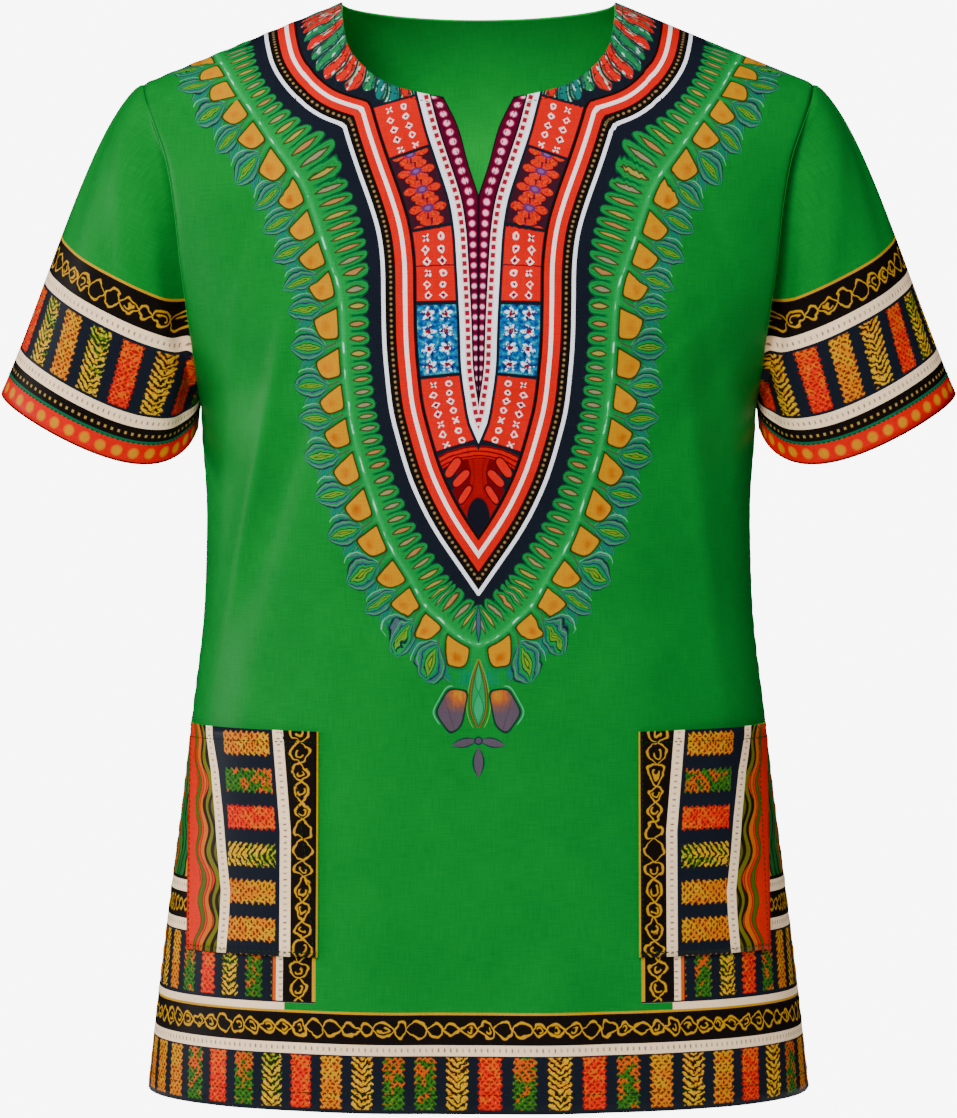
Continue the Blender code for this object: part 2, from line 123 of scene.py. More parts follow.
def bridged(t, start, start_way, end, end_way):
    """A smooth curve from start to end that leaves and arrives by the given ways; t is 0 to 1."""
    return ((2 * t ** 3 - 3 * t ** 2 + 1) * start + (t ** 3 - 2 * t ** 2 + t) * start_way
            + (3 * t ** 2 - 2 * t ** 3) * end + (t ** 3 - t ** 2) * end_way)


def smooth_at(table, at, column=1):
    """A table's column at the given places of its first column, on a smooth curve."""
    keys, values = table[:, 0], table[:, column]
    at = np.clip(at, keys[0], keys[-1])
    i = np.clip(np.searchsorted(keys, at, side="right") - 1, 0, len(keys) - 2)
    slopes = np.diff(values) / np.diff(keys)
    lean = np.concatenate((slopes[:1], (slopes[1:] + slopes[:-1]) / 2, slopes[-1:]))
    span = keys[i + 1] - keys[i]
    t = (at - keys[i]) / span
    return bridged(t, values[i], lean[i] * span, values[i + 1], lean[i + 1] * span)


def smooth_line(table, count=60):
    """Points on a smooth curve through a table's rows."""
    keyed = np.column_stack((np.linspace(0, 1, len(table)), table))
    at = np.linspace(0, 1, count + 1)
    return np.column_stack([smooth_at(keyed, at, c) for c in range(1, keyed.shape[1])])


def spaced(points, steps, closer=0.0):
    """Points along a line, evenly spaced or closer together towards its ends."""
    lengths = np.concatenate(([0], np.cumsum(np.linalg.norm(np.diff(points, axis=0), axis=1))))
    part = np.linspace(0, 1, steps + 1)
    target = lengths[-1] * (part - closer * np.sin(2 * np.pi * part) / (2 * np.pi))
    return np.column_stack([np.interp(target, lengths, points[:, c])
                            for c in range(points.shape[1])])


def shoulder_drop(across):
    """Drop of the shoulder line, which runs on in a curve over the neck."""
    across = np.abs(across)
    over_neck = (across ** 2 - NECK_HALF ** 2) * SHOULDER_SLOPE / (2 * NECK_HALF)
    return np.where(across >= NECK_HALF, (across - NECK_HALF) * SHOULDER_SLOPE, over_neck)


def fold_height(side, across, drop):
    """How far the folds of one side stand out from the cloth at a place."""
    total = np.zeros(np.broadcast(across, drop).shape)
    for x, z, half_length, half_width, height, lean in FOLDS[side]:
        along = drop - z
        aside = across - x - math.copysign(1, x) * lean * along
        total += height * np.exp(-(along / half_length) ** 2 - (aside / half_width) ** 2)
    return total


def run_of(side, across, drop):
    """How far down the cloth from the shoulder line a place lies."""
    length = SHOULDER_ROUND[side]
    below = np.maximum(drop - shoulder_drop(across), 0)
    return np.where(below >= length, length * math.pi / 2 + below - length,
                    length * np.arccos(1 - np.minimum(below, length) / length))


def turn_of(across, drop):
    """How far round the body a place lies: 0 at the centre line, a right angle at the side."""
    part = np.clip(across / smooth_at(BODY_SECTIONS, drop), 0, 1)
    return np.arcsin(part ** (SQUARENESS / 2))


def place_of(side, turn, run):
    """Distance from the centre line and drop of a place given by its turn and its run."""
    length = SHOULDER_ROUND[side]
    across = np.full(np.shape(turn), NECK_HALF)
    for _ in range(SETTLING_ROUNDS):
        top = shoulder_drop(across)
        drop = np.where(run >= length * math.pi / 2, top + length + run - length * math.pi / 2,
                        top + length * (1 - np.cos(run / length)))
        across = smooth_at(BODY_SECTIONS, drop) * np.sin(turn) ** (2 / SQUARENESS)
    return across, drop


def form_points(side, hand, turn, across, drop):
    """Points of the hanging cloth's outer face; hand is -1 or 1."""
    length = SHOULDER_ROUND[side]
    below = np.clip(drop - shoulder_drop(across), 0, length) / length
    rounding = np.sqrt(np.maximum(1 - (1 - below) ** 2, 0))
    share = np.maximum(np.cos(turn), 0) ** (2 / SQUARENESS) * rounding
    depth = smooth_at(BODY_SECTIONS, drop, 2 if side == "front" else 3)
    depth = (depth + fold_height(side, hand * across, drop)) * share + SEAM_GAP / 2
    return np.stack((hand * across, -depth if side == "front" else depth, NECK_Z - drop), -1)


def armhole_line(side):
    """Distance from the centre line and drop of the armhole seam's points, underarm first."""
    drop = np.linspace(UNDERARM_DROP, ARMHOLE[0, 0], ARMHOLE_SAMPLES)
    across = smooth_at(ARMHOLE, drop)
    points = form_points(side, 1, turn_of(across, drop), across, drop)
    even = spaced(points, ARMHOLE_STEPS, CLOSER_AT_SEAMS)
    return even[:, 0], NECK_Z - even[:, 2]


def column_turns(drop):
    """Turns of the columns of a half panel: the middle, the pocket's width and the side."""
    drop = max(drop, POCKET_TOP)
    inner, outer = float(turn_of(POCKET_INNER, drop)), float(turn_of(POCKET_OUTER, drop))
    return np.concatenate((np.linspace(0, inner, CENTRE_COLUMNS + 1)[:-1],
                           np.linspace(inner, outer, POCKET_COLUMNS + 1)[:-1],
                           np.linspace(outer, math.pi / 2, SIDE_COLUMNS + 1)))


def lower_row(row):
    """Turn, distance from the centre line and drop along a row below the underarm."""
    if row <= HEM_ROWS:
        drop, rise = HEM_DROP + (POCKET_FOOT - HEM_DROP) * row / HEM_ROWS, 0.0
    elif row <= HEM_ROWS + POCKET_ROWS:
        part = (row - HEM_ROWS) / POCKET_ROWS
        drop, rise = POCKET_FOOT + (POCKET_TOP - POCKET_FOOT) * part, POCKET_RISE * part
    else:
        part = (row - HEM_ROWS - POCKET_ROWS) / WAIST_ROWS
        drop, rise = POCKET_TOP + (UNDERARM_DROP - POCKET_TOP) * part, POCKET_RISE * (1 - part)
    turn = column_turns(drop)
    share = np.clip((np.arange(len(turn)) - CENTRE_COLUMNS) / POCKET_COLUMNS, 0, 1)
    here = drop - rise * share
    across = smooth_at(BODY_SECTIONS, here) * np.sin(turn) ** (2 / SQUARENESS)
    return np.stack((turn, across, here), -1)


def top_edge(side):
    """Distance from the centre line and drop along a half panel's top edge."""
    if side == "front":
        notch = spaced(smooth_line(NOTCH[::-1], 40), NOTCH_STEPS)
        edge = np.concatenate((notch, spaced(smooth_line(NECKLINE[::-1], 40), NECK_STEPS)[1:]))
    else:
        across = NECK_HALF * np.sin(math.pi / 2 * np.linspace(0, 1, NOTCH_STEPS + NECK_STEPS + 1))
        edge = np.column_stack((across, BACK_NECK_DROP * (1 - (across / NECK_HALF) ** 2)))
    across = np.linspace(NECK_HALF, ARMHOLE[0, 1], BODY_COLUMNS - len(edge) + 2)[1:]
    return np.concatenate((edge, np.column_stack((across, shoulder_drop(across)))))


def half_panel(side):
    """Rows of turn, distance from the centre line and drop for half a front or back, hem first."""
    rows = [lower_row(row) for row in range(LOWER_ROWS)]
    turn, across, drop = lower_row(LOWER_ROWS).T
    foot = np.column_stack((turn, run_of(side, across, drop)))
    top = top_edge(side)
    top = np.column_stack((turn_of(*top.T), run_of(side, *top.T)))
    rim = armhole_line(side)
    rim = np.column_stack((turn_of(*rim), run_of(side, *rim)))
    foot[-1], top[-1] = rim[0], rim[-1]
    u = np.linspace(0, 1, BODY_COLUMNS + 1)[:, None]
    for j in range(ARMHOLE_STEPS + 1):
        v = j / ARMHOLE_STEPS
        v -= CLOSER_AT_SEAMS * math.sin(2 * math.pi * v) / (2 * math.pi)
        centre = foot[0] + (top[0] - foot[0]) * v
        corners = ((foot[0] * (1 - u) + foot[-1] * u) * (1 - v)
                   + (top[0] * (1 - u) + top[-1] * u) * v)
        place = foot * (1 - v) + top * v + centre * (1 - u) + rim[j] * u - corners
        turn, run = np.clip(place[:, 0], 0, math.pi / 2), np.maximum(place[:, 1], 0)
        rows.append(np.stack((turn, *place_of(side, turn, run)), -1))
    return np.array(rows)


def body_places(side):
    """Rows of hand-signed turn, distance from the centre line and drop for a whole panel."""
    half = half_panel(side)
    return np.concatenate((half[:, :0:-1] * (-1, -1, 1), half), 1)


def body_points(side, places):
    """Points of a whole front or back at its places."""
    turn, across, drop = places[..., 0], places[..., 1], places[..., 2]
    ahead = form_points(side, 1, np.abs(turn), np.abs(across), drop)
    other = form_points(side, -1, np.abs(turn), np.abs(across), drop)
    return np.where(turn[..., None] < 0, other, ahead)


def outward(points, closed=False):
    """Unit normals of a grid of points, rows first, from its neighbours."""
    if closed:
        along = np.roll(points, -1, 1) - np.roll(points, 1, 1)
    else:
        along = np.gradient(points, axis=1)
    normal = np.cross(along, np.gradient(points, axis=0))
    return normal / np.maximum(np.linalg.norm(normal, axis=-1, keepdims=True), 1e-12)


def bake_layout(cut):
    """The outer and inner face's places in the bake map, side by side or one above the other."""
    placed = cut - cut.min((0, 1)) + BAKE_MARGIN
    wide, tall = np.ptp(cut, (0, 1)) + 2 * BAKE_MARGIN
    short, long = sorted((wide, tall))
    scale = BAKE_FILL / long
    small = min((1 - short * scale) / short, BAKE_FILL / long) * BAKE_INNER_FILL
    start = (wide * scale, 0) if tall > wide else (0, tall * scale)
    return placed * scale, placed * small + start, scale


def cloth_shell(name, points, maps, slots, materials, facing=1, closed=False, wall=CLOTH_WALL):
    """A cloth piece from a grid of points: its outer face, its inner face and the cut edge.

    maps gives the UV maps' values at the points, in millimetres, "cut" among them. In a closed
    piece the maps have one more column than the points. slots says which material each cell of
    the outer face has; the inner face and the edge have the last one.
    """
    rows, columns = points.shape[:2]
    wide = columns if closed else columns - 1
    inner = points - outward(points, closed) * facing * wall
    count = rows * columns
    spot = np.arange(rows * (wide + 1)).reshape(rows, wide + 1)
    vertex = (spot // (wide + 1)) * columns + (spot % (wide + 1)) % columns
    quads = np.stack((spot[:-1, :-1], spot[:-1, 1:], spot[1:, 1:], spot[1:, :-1]), -1)
    quads = quads.reshape(-1, 4)
    edges = [(spot[0, :-1], spot[0, 1:]), (spot[-1, 1:], spot[-1, :-1])]
    if not closed:
        edges += [(spot[:-1, -1], spot[1:, -1]), (spot[1:, 0], spot[:-1, 0])]
    rim = np.concatenate([np.stack((b, a, a, b), -1) for a, b in edges])
    corners = np.concatenate((quads, quads[:, ::-1], rim))
    under = np.concatenate((np.zeros(quads.shape), np.ones(quads.shape),
                            np.tile((0, 0, 1, 1), (len(rim), 1)))).astype(int)
    part = np.repeat((0, 1, 2), (len(quads), len(quads), len(rim)))
    if facing < 0:
        corners, under = corners[:, ::-1], under[:, ::-1]
    faces = vertex.reshape(-1)[corners] + under * count
    mesh = bpy.data.meshes.new(name)
    mesh.from_pydata(np.concatenate((points.reshape(-1, 3), inner.reshape(-1, 3))).tolist(), [],
                     faces.tolist())
    for material in materials:
        mesh.materials.append(material)
    inside = np.full(len(quads) + len(rim), len(materials) - 1)
    chosen = np.concatenate((np.asarray(slots).reshape(-1), inside))
    mesh.polygons.foreach_set("material_index", chosen.astype(np.int32))
    for title, values in maps.items():
        flat = values.reshape(-1, 2)[corners.reshape(-1)]
        mesh.uv_layers.new(name=title).data.foreach_set("uv", flat.astype(np.float32).reshape(-1))
    outer, within, scale = bake_layout(maps["cut"] / 1000)
    away = np.zeros(outer.shape)
    away[0], away[-1] = outer[0] - outer[1], outer[-1] - outer[-2]
    if not closed:
        away[:, 0] += outer[:, 0] - outer[:, 1]
        away[:, -1] += outer[:, -1] - outer[:, -2]
    away /= np.maximum(np.linalg.norm(away, axis=-1, keepdims=True), 1e-9)
    turned = (outer + away * scale * wall).reshape(-1, 2)
    outer, within = outer.reshape(-1, 2), within.reshape(-1, 2)
    where = np.where((part == 1)[:, None, None], within[corners],
                     np.where(((part == 2)[:, None] & (under == 1))[..., None],
                              turned[corners], outer[corners]))
    mesh.uv_layers.new(name="OFBake").data.foreach_set(
        "uv", where.astype(np.float32).reshape(-1))
    mesh.polygons.foreach_set("use_smooth", part != 2)
    mesh.update()
    piece = bpy.data.objects.new(name, mesh)
    bpy.context.scene.collection.objects.link(piece)
    return piece


def cut_place(side, turn, across, drop):
    """Where a place lies on the flat cut, in millimetres: across from the centre, and down."""
    steps = np.linspace(0, 1, ARC_SAMPLES)
    half = smooth_at(BODY_SECTIONS, drop)
    depth = smooth_at(BODY_SECTIONS, drop, 2 if side == "front" else 3)
    t = np.asarray(turn)[..., None] * steps
    x = half[..., None] * np.sin(t) ** (2 / SQUARENESS)
    y = depth[..., None] * np.maximum(np.cos(t), 0) ** (2 / SQUARENESS)
    arc = np.hypot(np.diff(x), np.diff(y)).sum(-1)
    length, top = SHOULDER_ROUND[side], shoulder_drop(across)
    level = np.clip((drop - top) / length, 0, 1)
    rise = np.arcsin(1 - level)[..., None] * steps
    near = depth * np.maximum(np.cos(turn), 0) ** (2 / SQUARENESS)
    up = np.hypot(np.diff(length * np.sin(rise)), np.diff(near[..., None] * np.cos(rise))).sum(-1)
    down = np.where(level >= 1, drop, top + length - up)
    return arc * 1000, down * 1000


def cut_map(side, places):
    """The flat cut's own coordinates at a whole panel's points; the side says which hand."""
    arc, down = cut_place(side, np.abs(places[..., 0]), np.abs(places[..., 1]), places[..., 2])
    return np.stack((np.where(places[..., 0] < 0, -arc, arc), -down), -1)


def puff(away):
    """Height of the cloth that stands up beside a seam, at a distance from it."""
    near = away / PUFF_PLACE
    return PUFF_HEIGHT * near * np.exp(1 - near)


def seam_puff(points, seams, facing=1):
    """A front's or back's points with the cloth beside its seams standing up unevenly."""
    far = np.full(points.shape[:2], np.inf)
    for seam in seams:
        for spot in seam:
            far = np.minimum(far, np.linalg.norm(points - spot, axis=-1))
    waves = points[..., 2] * PUFF_WAVES[0] + points[..., 0] * PUFF_WAVES[1]
    height = puff(far) * (1 + PUFF_UNEVEN * np.sin(waves)) * (far < PUFF_END)
    return points + outward(points) * facing * height[..., None]


def body_seams(points):
    """The side, armhole and shoulder seams at the edges of a front or back."""
    last = BODY_COLUMNS - NOTCH_STEPS - NECK_STEPS
    return points[:, 0], points[:, -1], points[-1, :last], points[-1, -last:]


front_places = body_places("front")
front_points = body_points("front", front_places)
front_points = seam_puff(front_points, body_seams(front_points))
front_cut = cut_map("front", front_places)


def lines_on_cut(side, table, after=()):
    """A smooth line through a table of distance from the centre and drop, on the flat cut."""
    across, drop = smooth_line(np.array(table) / 1000).T
    line = np.stack(cut_place(side, turn_of(across, drop), across, drop), -1)
    return np.concatenate((line, np.reshape(after, (-1, 2)))) if len(after) else line


def beside(line, cut, start=0.0):
    """How far along a line, and how far outside it, each place of the cut lies."""
    spots = np.stack((np.abs(cut[..., 0]), -cut[..., 1]), -1).reshape(-1, 2)
    best = np.full(len(spots), np.inf)
    result = np.zeros((len(spots), 2))
    passed = -start
    for k, (a, b) in enumerate(zip(line, line[1:])):
        length = math.dist(a, b)
        way = (b - a) / length
        step = (spots - a) @ way
        low = -np.inf if k == 0 else 0
        high = np.inf if k == len(line) - 2 else length
        step = np.clip(step, low, high)
        gap = spots - a - step[:, None] * way
        far = np.hypot(*gap.T)
        out = gap @ (way[1], -way[0])
        nearer = far < best
        best[nearer] = far[nearer]
        result[nearer] = np.stack((passed + step, np.copysign(far, out)), -1)[nearer]
        passed += length
    return result.reshape(cut.shape)


def line_length(line):
    """Length of a line of points."""
    return float(np.linalg.norm(np.diff(line, axis=0), axis=1).sum())


# The lines that the print follows, in millimetres: distance from the centre line and drop.
YOKE_SHOULDER = ((127.8, 15), (125.3, 28), (121.3, 42.5), (114.6, 54.3), (105.4, 64.8), (96.1, 72),
                 (86.5, 76.4), (74.9, 80.3))
YOKE_FRONT = ((74.9, 80.3), (69.8, 97.7), (63.6, 116.4), (55.5, 139.3), (49.9, 159.1),
              (47.2, 180.5), (46.7, 204.7), (46.1, 230.2), (44.5, 250.6), (42, 271.9),
              (37.5, 290.2), (32.4, 307.5), (27.8, 319.8), (20.8, 334.6), (13.4, 347.4),
              (6.7, 357.4), (0.3, 366.6))
RING_FRONT = ((176, 35), (166, 48.9), (159.6, 60.8), (151.6, 73), (143.4, 85.2), (132.1, 101.9),
              (120.4, 117.9), (112.1, 130.4), (105.1, 149.4), (98.8, 168.5), (93.7, 182.7),
              (90.2, 192.9), (87.4, 210.5), (86.4, 230.9), (84.8, 254.3), (82.8, 269.6),
              (81, 284.2), (77.2, 301.2), (72.1, 318), (65.8, 337.2), (60, 353.2), (53.7, 366.6),
              (43.7, 381.9), (34.7, 398.8), (24.1, 408.3), (16.7, 415.7), (8.3, 421.3),
              (0.3, 424.5))
PLACKET = ((35.7, 71.1), (29.6, 94.8), (22.9, 115.6), (15.6, 138.5), (12.2, 158), (10.8, 176.1),
           (8.6, 217.5), (7.8, 243), (6.6, 256), (4.8, 268), (2.7, 280.5), (0.3, 287))
FAN_CENTRE = 80.0             # above the neck point, where the neck's feathers point to
FAN_SCALE = 100               # millimetres along the fan for each radian round its centre

# Each line runs on past the middle to one more place, so that both halves follow it alike.
shoulder_arm = lines_on_cut("front", YOKE_SHOULDER)
yoke_line = np.concatenate((shoulder_arm, lines_on_cut("front", YOKE_FRONT)[1:], [(-60, 454)]))
ring_line = lines_on_cut("front", RING_FRONT, (-60, 440))
placket_line = lines_on_cut("front", PLACKET, (-12, 315))
neck_line = np.concatenate((lines_on_cut("front", NECKLINE * 1000),
                            lines_on_cut("front", NOTCH * 1000)[1:], [(0, 420)]))

# How much the leaves lean at places along the ring from the bottom, and how far outside the ring
# they lean from.
LEAF_LEAN = ((-520, -0.30), (-430, -0.40), (-380, 0.25), (-320, 0.18), (-250, 0.0), (-160, -0.18),
             (-100, -0.05), (-60, 0.12), (0, 0.28))
LEAF_FOOT = 13
# How far along the ring each golden drop lies from the bottom, unevenly as a hand draws them.
DROP_PITCH = 21.9
DROP_PLACES = (9, 31.5, 49.5, 68.5, 92.5, 115.8, 140.8, 163.3, 184.6, 206, 231.6, 259, 279.9, 300,
               322.5, 348.7, 373.2, 393.8, 415.8, 436, 456.5, 556)


def print_maps(cut, yoke, ring, neck, corner, drops=()):
    """The UV maps that the yoke's print is drawn on: along and across each line it follows."""
    angle = np.arctan2(np.abs(cut[..., 0]), FAN_CENTRE - cut[..., 1])
    fan = np.stack((angle * FAN_SCALE, beside(neck, cut)[..., 1]), -1)
    round_it = beside(ring, cut, line_length(ring[:-1]))
    if drops:
        even = (np.arange(len(drops)) + 0.5) * DROP_PITCH
        round_it[..., 0] = np.copysign(np.interp(np.abs(round_it[..., 0]), (0, *drops), (0, *even)),
                                       round_it[..., 0])
    lean = np.interp(round_it[..., 0], *np.transpose(LEAF_LEAN)) * (round_it[..., 1] - LEAF_FOOT)
    leaves = np.stack((round_it[..., 0] - np.where(round_it[..., 1] > 0, lean, 0),
                       round_it[..., 1]), -1)
    return {"cut": cut, "yoke": beside(yoke, cut, corner), "ring": round_it, "leaves": leaves,
            "fan": fan}


front_maps = print_maps(front_cut, yoke_line, ring_line, neck_line, line_length(shoulder_arm),
                        DROP_PLACES)
front_maps["placket"] = beside(placket_line, front_cut)

# The print is drawn by sums on those maps, with all its places and sizes in millimetres. These are
# its dyes, as linear red, green and blue; the inside's green is lighter than its dye, as painted
# light.
GREEN, GREEN_WASH, GREEN_PALE = (0.0004, 0.165, 0.0190), (0.002, 0.205, 0.033), (0.012, 0.36, 0.09)
NAVY, BLACK, GREY_BLUE = (0.0070, 0.0092, 0.0160), (0.0060, 0.0040, 0.0034), (0.038, 0.080, 0.125)
LAVENDER, PINK_WHITE, CREAM = (0.84, 0.88, 0.96), (0.97, 0.80, 0.77), (0.95, 0.69, 0.43)
RED, RED_DEEP, RED_ORANGE = (0.575, 0.0006, 0.0004), (0.28, 0.001, 0.002), (0.59, 0.014, 0.0006)
GOLD, GOLD_SHADE, YELLOW = (0.475, 0.198, 0.0001), (0.36, 0.085, 0.0001), (0.48, 0.235, 0.0003)
ORANGE, LEAF_GREEN, LIME = (0.54, 0.072, 0.0004), (0.060, 0.135, 0.004), (0.165, 0.270, 0.006)
TAN, PINK, MAROON = (0.33, 0.155, 0.045), (0.90, 0.38, 0.54), (0.070, 0.0014, 0.014)
# The inside's green is made lighter as painted light, for light that does not reach inside.
PENDANT_GREY, GREEN_INSIDE_PAINTED_LIGHT = (0.078, 0.054, 0.076), (0.002, 0.33, 0.040)


class Wire:
    """A number or colour on its way through a cloth's nodes, so that a print reads as sums."""

    def __init__(self, tree, socket):
        self.tree, self.socket = tree, socket

    def plug(self, into, value):
        """Gives a node's input a wire, a colour or a number."""
        if isinstance(value, Wire):
            self.tree.links.new(value.socket, into)
        elif isinstance(value, tuple):
            into.default_value = (*value, 1.0)
        else:
            into.default_value = value

    def math(self, operation, *others, clamp=False):
        """The result of an operation on this number and the others."""
        node = self.tree.nodes.new("ShaderNodeMath")
        node.operation, node.use_clamp = operation, clamp
        for into, value in zip(node.inputs, (self, *others)):
            self.plug(into, value)
        return Wire(self.tree, node.outputs[0])

    def __add__(self, other):
        return self.math("ADD", other)

    def __sub__(self, other):
        return self.math("SUBTRACT", other)

    def __rsub__(self, other):
        return self.math("MULTIPLY_ADD", -1.0, other)

    def __mul__(self, other):
        return self.math("MULTIPLY", other)

    def __truediv__(self, other):
        return self.math("DIVIDE", other)

    def __neg__(self):
        return self.math("MULTIPLY", -1.0)

    def abs(self):
        return self.math("ABSOLUTE")

    def floor(self):
        return self.math("FLOOR")

    def sin(self):
        return self.math("SINE")

    def least(self, other):
        return self.math("MINIMUM", other)

    def most(self, other):
        return self.math("MAXIMUM", other)

    def power(self, exponent):
        return self.math("POWER", exponent)

    def squared(self):
        return self * self

    def root(self):
        return self.math("SQRT")

    def scaled(self, times, plus, clamp=False):
        return self.math("MULTIPLY_ADD", times, plus, clamp=clamp)

    def repeat(self, pitch, shift=0.0):
        """Distance from the middle of its repeat, and which repeat it is in."""
        place = self.scaled(1 / pitch, shift / pitch)
        number = place.floor()
        return (place - number).scaled(pitch, -pitch / 2), number

    def below(self, limit=0.0, soft=0.3):
        """1 where it is under the limit, with a soft edge."""
        return self.scaled(-1 / soft, 0.5 + limit / soft, clamp=True)

    def above(self, limit=0.0, soft=0.3):
        """1 where it is over the limit, with a soft edge."""
        return self.scaled(1 / soft, 0.5 - limit / soft, clamp=True)

    def within(self, low, high, soft=0.3):
        """1 where it is between the limits, with soft edges."""
        return (self - (low + high) / 2).abs().below((high - low) / 2, soft)

    def chance(self, seed):
        """A number from 0 to 1 that differs from repeat to repeat."""
        noise = self.tree.nodes.new("ShaderNodeTexWhiteNoise")
        noise.noise_dimensions = "1D"
        self.plug(noise.inputs["W"], self + (seed + 0.5))
        return Wire(self.tree, noise.outputs["Value"])

    def steps(self, *stops, smooth=False):
        """A colour for each stretch of its values: pairs of a start and a colour."""
        low, high = stops[0][0], stops[-1][0]
        node = self.tree.nodes.new("ShaderNodeValToRGB")
        node.color_ramp.interpolation = "LINEAR" if smooth else "CONSTANT"
        marks = node.color_ramp.elements
        while len(marks) < len(stops):
            marks.new(1.0)
        # All places come first, because a mark that passes another one changes its number.
        for mark, (start, _) in zip(marks, stops):
            mark.position = (start - low) / (high - low)
        for mark, (_, colour) in zip(marks, stops):
            mark.color = (*colour, 1.0)
        self.plug(node.inputs[0], self.scaled(1 / (high - low), -low / (high - low)))
        return Wire(self.tree, node.outputs[0])

    def over(self, mask, colour):
        """This colour, with another printed over it where the mask is 1."""
        node = self.tree.nodes.new("ShaderNodeMix")
        node.data_type = "RGBA"
        self.plug(node.inputs[0], mask)
        self.plug(node.inputs[6], self)
        self.plug(node.inputs[7], colour)
        return Wire(self.tree, node.outputs[2])

    def printed(self, *layers):
        """This colour with layers printed over it in turn: pairs of a mask and a colour."""
        colour = self
        for mask, dye in layers:
            colour = colour.over(mask, dye)
        return colour


def distance(x, y):
    return (x.squared() + y.squared()).root()


# The weave of the cotton: its threads' fineness for each millimetre across and its share of that
# along, and the scale of the fading, which also paints mottled shade. Then factors and least values
# of the threads' tone with painted shade that follows the bump, of the fading and painted mottled
# shade, and of the roughness, the sheen, and the bump's strength and height in metres.
WEAVE_SCALE, WEAVE_STRETCH, FADING_AND_SHADE_SCALE = 1.5, 0.05, 0.02
WEAVE_TONE_AND_PAINTED_SHADE, FADING_AND_PAINTED_SHADE, ROUGHNESS = (0.80, 0.60), (0.30, 0.85), (0.14, 0.39)
SHEEN, BUMP_STRENGTH, BUMP_HEIGHT = 0.07, 0.35, 0.00025


class Cotton:
    """A plain-woven cotton: its print, its slubby threads both ways, painted shade and a fine matt
    nap.
    """

    def __init__(self, name):
        self.material = bpy.data.materials.new(name)
        self.material.use_nodes = True
        self.tree = self.material.node_tree
        self.shader = self.tree.nodes["Principled BSDF"]
        self.seen = {}

    def place(self, title):
        """The two numbers of one of the cloth's maps."""
        if title not in self.seen:
            node = self.tree.nodes.new("ShaderNodeUVMap")
            node.uv_map = title
            parts = self.tree.nodes.new("ShaderNodeSeparateXYZ")
            self.tree.links.new(node.outputs[0], parts.inputs[0])
            self.seen[title] = (Wire(self.tree, parts.outputs[0]),
                                Wire(self.tree, parts.outputs[1]), node.outputs[0])
        return self.seen[title][:2]

    def plain(self, colour):
        """A ground of one dye."""
        node = self.tree.nodes.new("ShaderNodeRGB")
        node.outputs[0].default_value = (*colour, 1.0)
        return Wire(self.tree, node.outputs[0])

    def noise(self, title, scale, stretch=(1, 1), detail=2.0):
        """Soft clouds on one of the cloth's maps; scale is for each millimetre."""
        self.place(title)
        mapping = self.tree.nodes.new("ShaderNodeMapping")
        mapping.inputs["Scale"].default_value = (stretch[0] * scale, stretch[1] * scale, 1)
        self.tree.links.new(self.seen[title][2], mapping.inputs[0])
        noise = self.tree.nodes.new("ShaderNodeTexNoise")
        noise.inputs["Scale"].default_value = 1.0
        noise.inputs["Detail"].default_value = detail
        self.tree.links.new(mapping.outputs[0], noise.inputs["Vector"])
        return Wire(self.tree, noise.outputs["Fac"])

    def finish(self, colour, title="cut"):
        """Weaves the colour: thick and thin threads, a little fading, painted shade and a faint
        sheen.
        """
        warp = self.noise(title, WEAVE_SCALE, (1, WEAVE_STRETCH), 3)
        weft = self.noise(title, WEAVE_SCALE, (WEAVE_STRETCH, 1), 3)
        threads = (warp + weft).scaled(0.5, 0.0)
        fading = self.noise(title, FADING_AND_SHADE_SCALE)
        # The threads' tone is partly painted shade, lighter where the bump is high; the fading is
        # partly painted mottled shade of soft crumples.
        shade = threads.scaled(*WEAVE_TONE_AND_PAINTED_SHADE) * fading.scaled(*FADING_AND_PAINTED_SHADE)
        node = self.tree.nodes.new("ShaderNodeVectorMath")
        node.operation = "SCALE"
        self.tree.links.new(colour.socket, node.inputs[0])
        self.tree.links.new(shade.socket, node.inputs["Scale"])
        self.tree.links.new(node.outputs[0], self.shader.inputs["Base Color"])
        rough = threads.scaled(*ROUGHNESS)
        self.tree.links.new(rough.socket, self.shader.inputs["Roughness"])
        self.shader.inputs["Specular IOR Level"].default_value = SHEEN
        bump = self.tree.nodes.new("ShaderNodeBump")
        bump.inputs["Strength"].default_value = BUMP_STRENGTH
        bump.inputs["Distance"].default_value = BUMP_HEIGHT
        self.tree.links.new(threads.socket, bump.inputs["Height"])
        self.tree.links.new(bump.outputs[0], self.shader.inputs["Normal"])
        return self.material


def plain_cotton(name, colour):
    """Cotton of one colour, with no print on it."""
    cloth = Cotton(name)
    return cloth.finish(cloth.plain(colour))


plain_green = plain_cotton("green_cotton", GREEN)
# Painted light: the inside is lighter than the outside's green, for light that does not reach in.
inside_green_painted_light = plain_cotton("green_cotton_inside_painted_light", GREEN_INSIDE_PAINTED_LIGHT)


def leaf_axes(x, y, angle):
    """How far along and across a leaf that leans by an angle a place lies."""
    return x * math.cos(angle) + y * math.sin(angle), y * math.cos(angle) - x * math.sin(angle)


def rounded_shape(x, y, sides):
    """Below 0 between straight sides, each given by its way across and down, reach and softness."""
    shape = None
    for across, down, reach, soft in sides:
        side = x * across + y.scaled(down, -reach)
        shape = side if shape is None else shape.math("SMOOTH_MAX", side, soft)
    return shape


def small_mark(x, y, kind):
    """A ring, a diamond or a cross about 4 mm across; kind is from 0 to 1."""
    far = distance(x, y)
    ring = (far - 1.6).abs() - 0.48
    diamond = (x.abs() + y.abs() - 2.1).abs() - 0.50
    cross = ((x.abs() - y.abs()).abs() - 0.60).most(far - 2.4)
    chosen = kind.above(0.40, 0.01)
    last = kind.above(0.72, 0.01)
    return ring + (diamond - ring) * chosen + (cross - diamond) * last, far


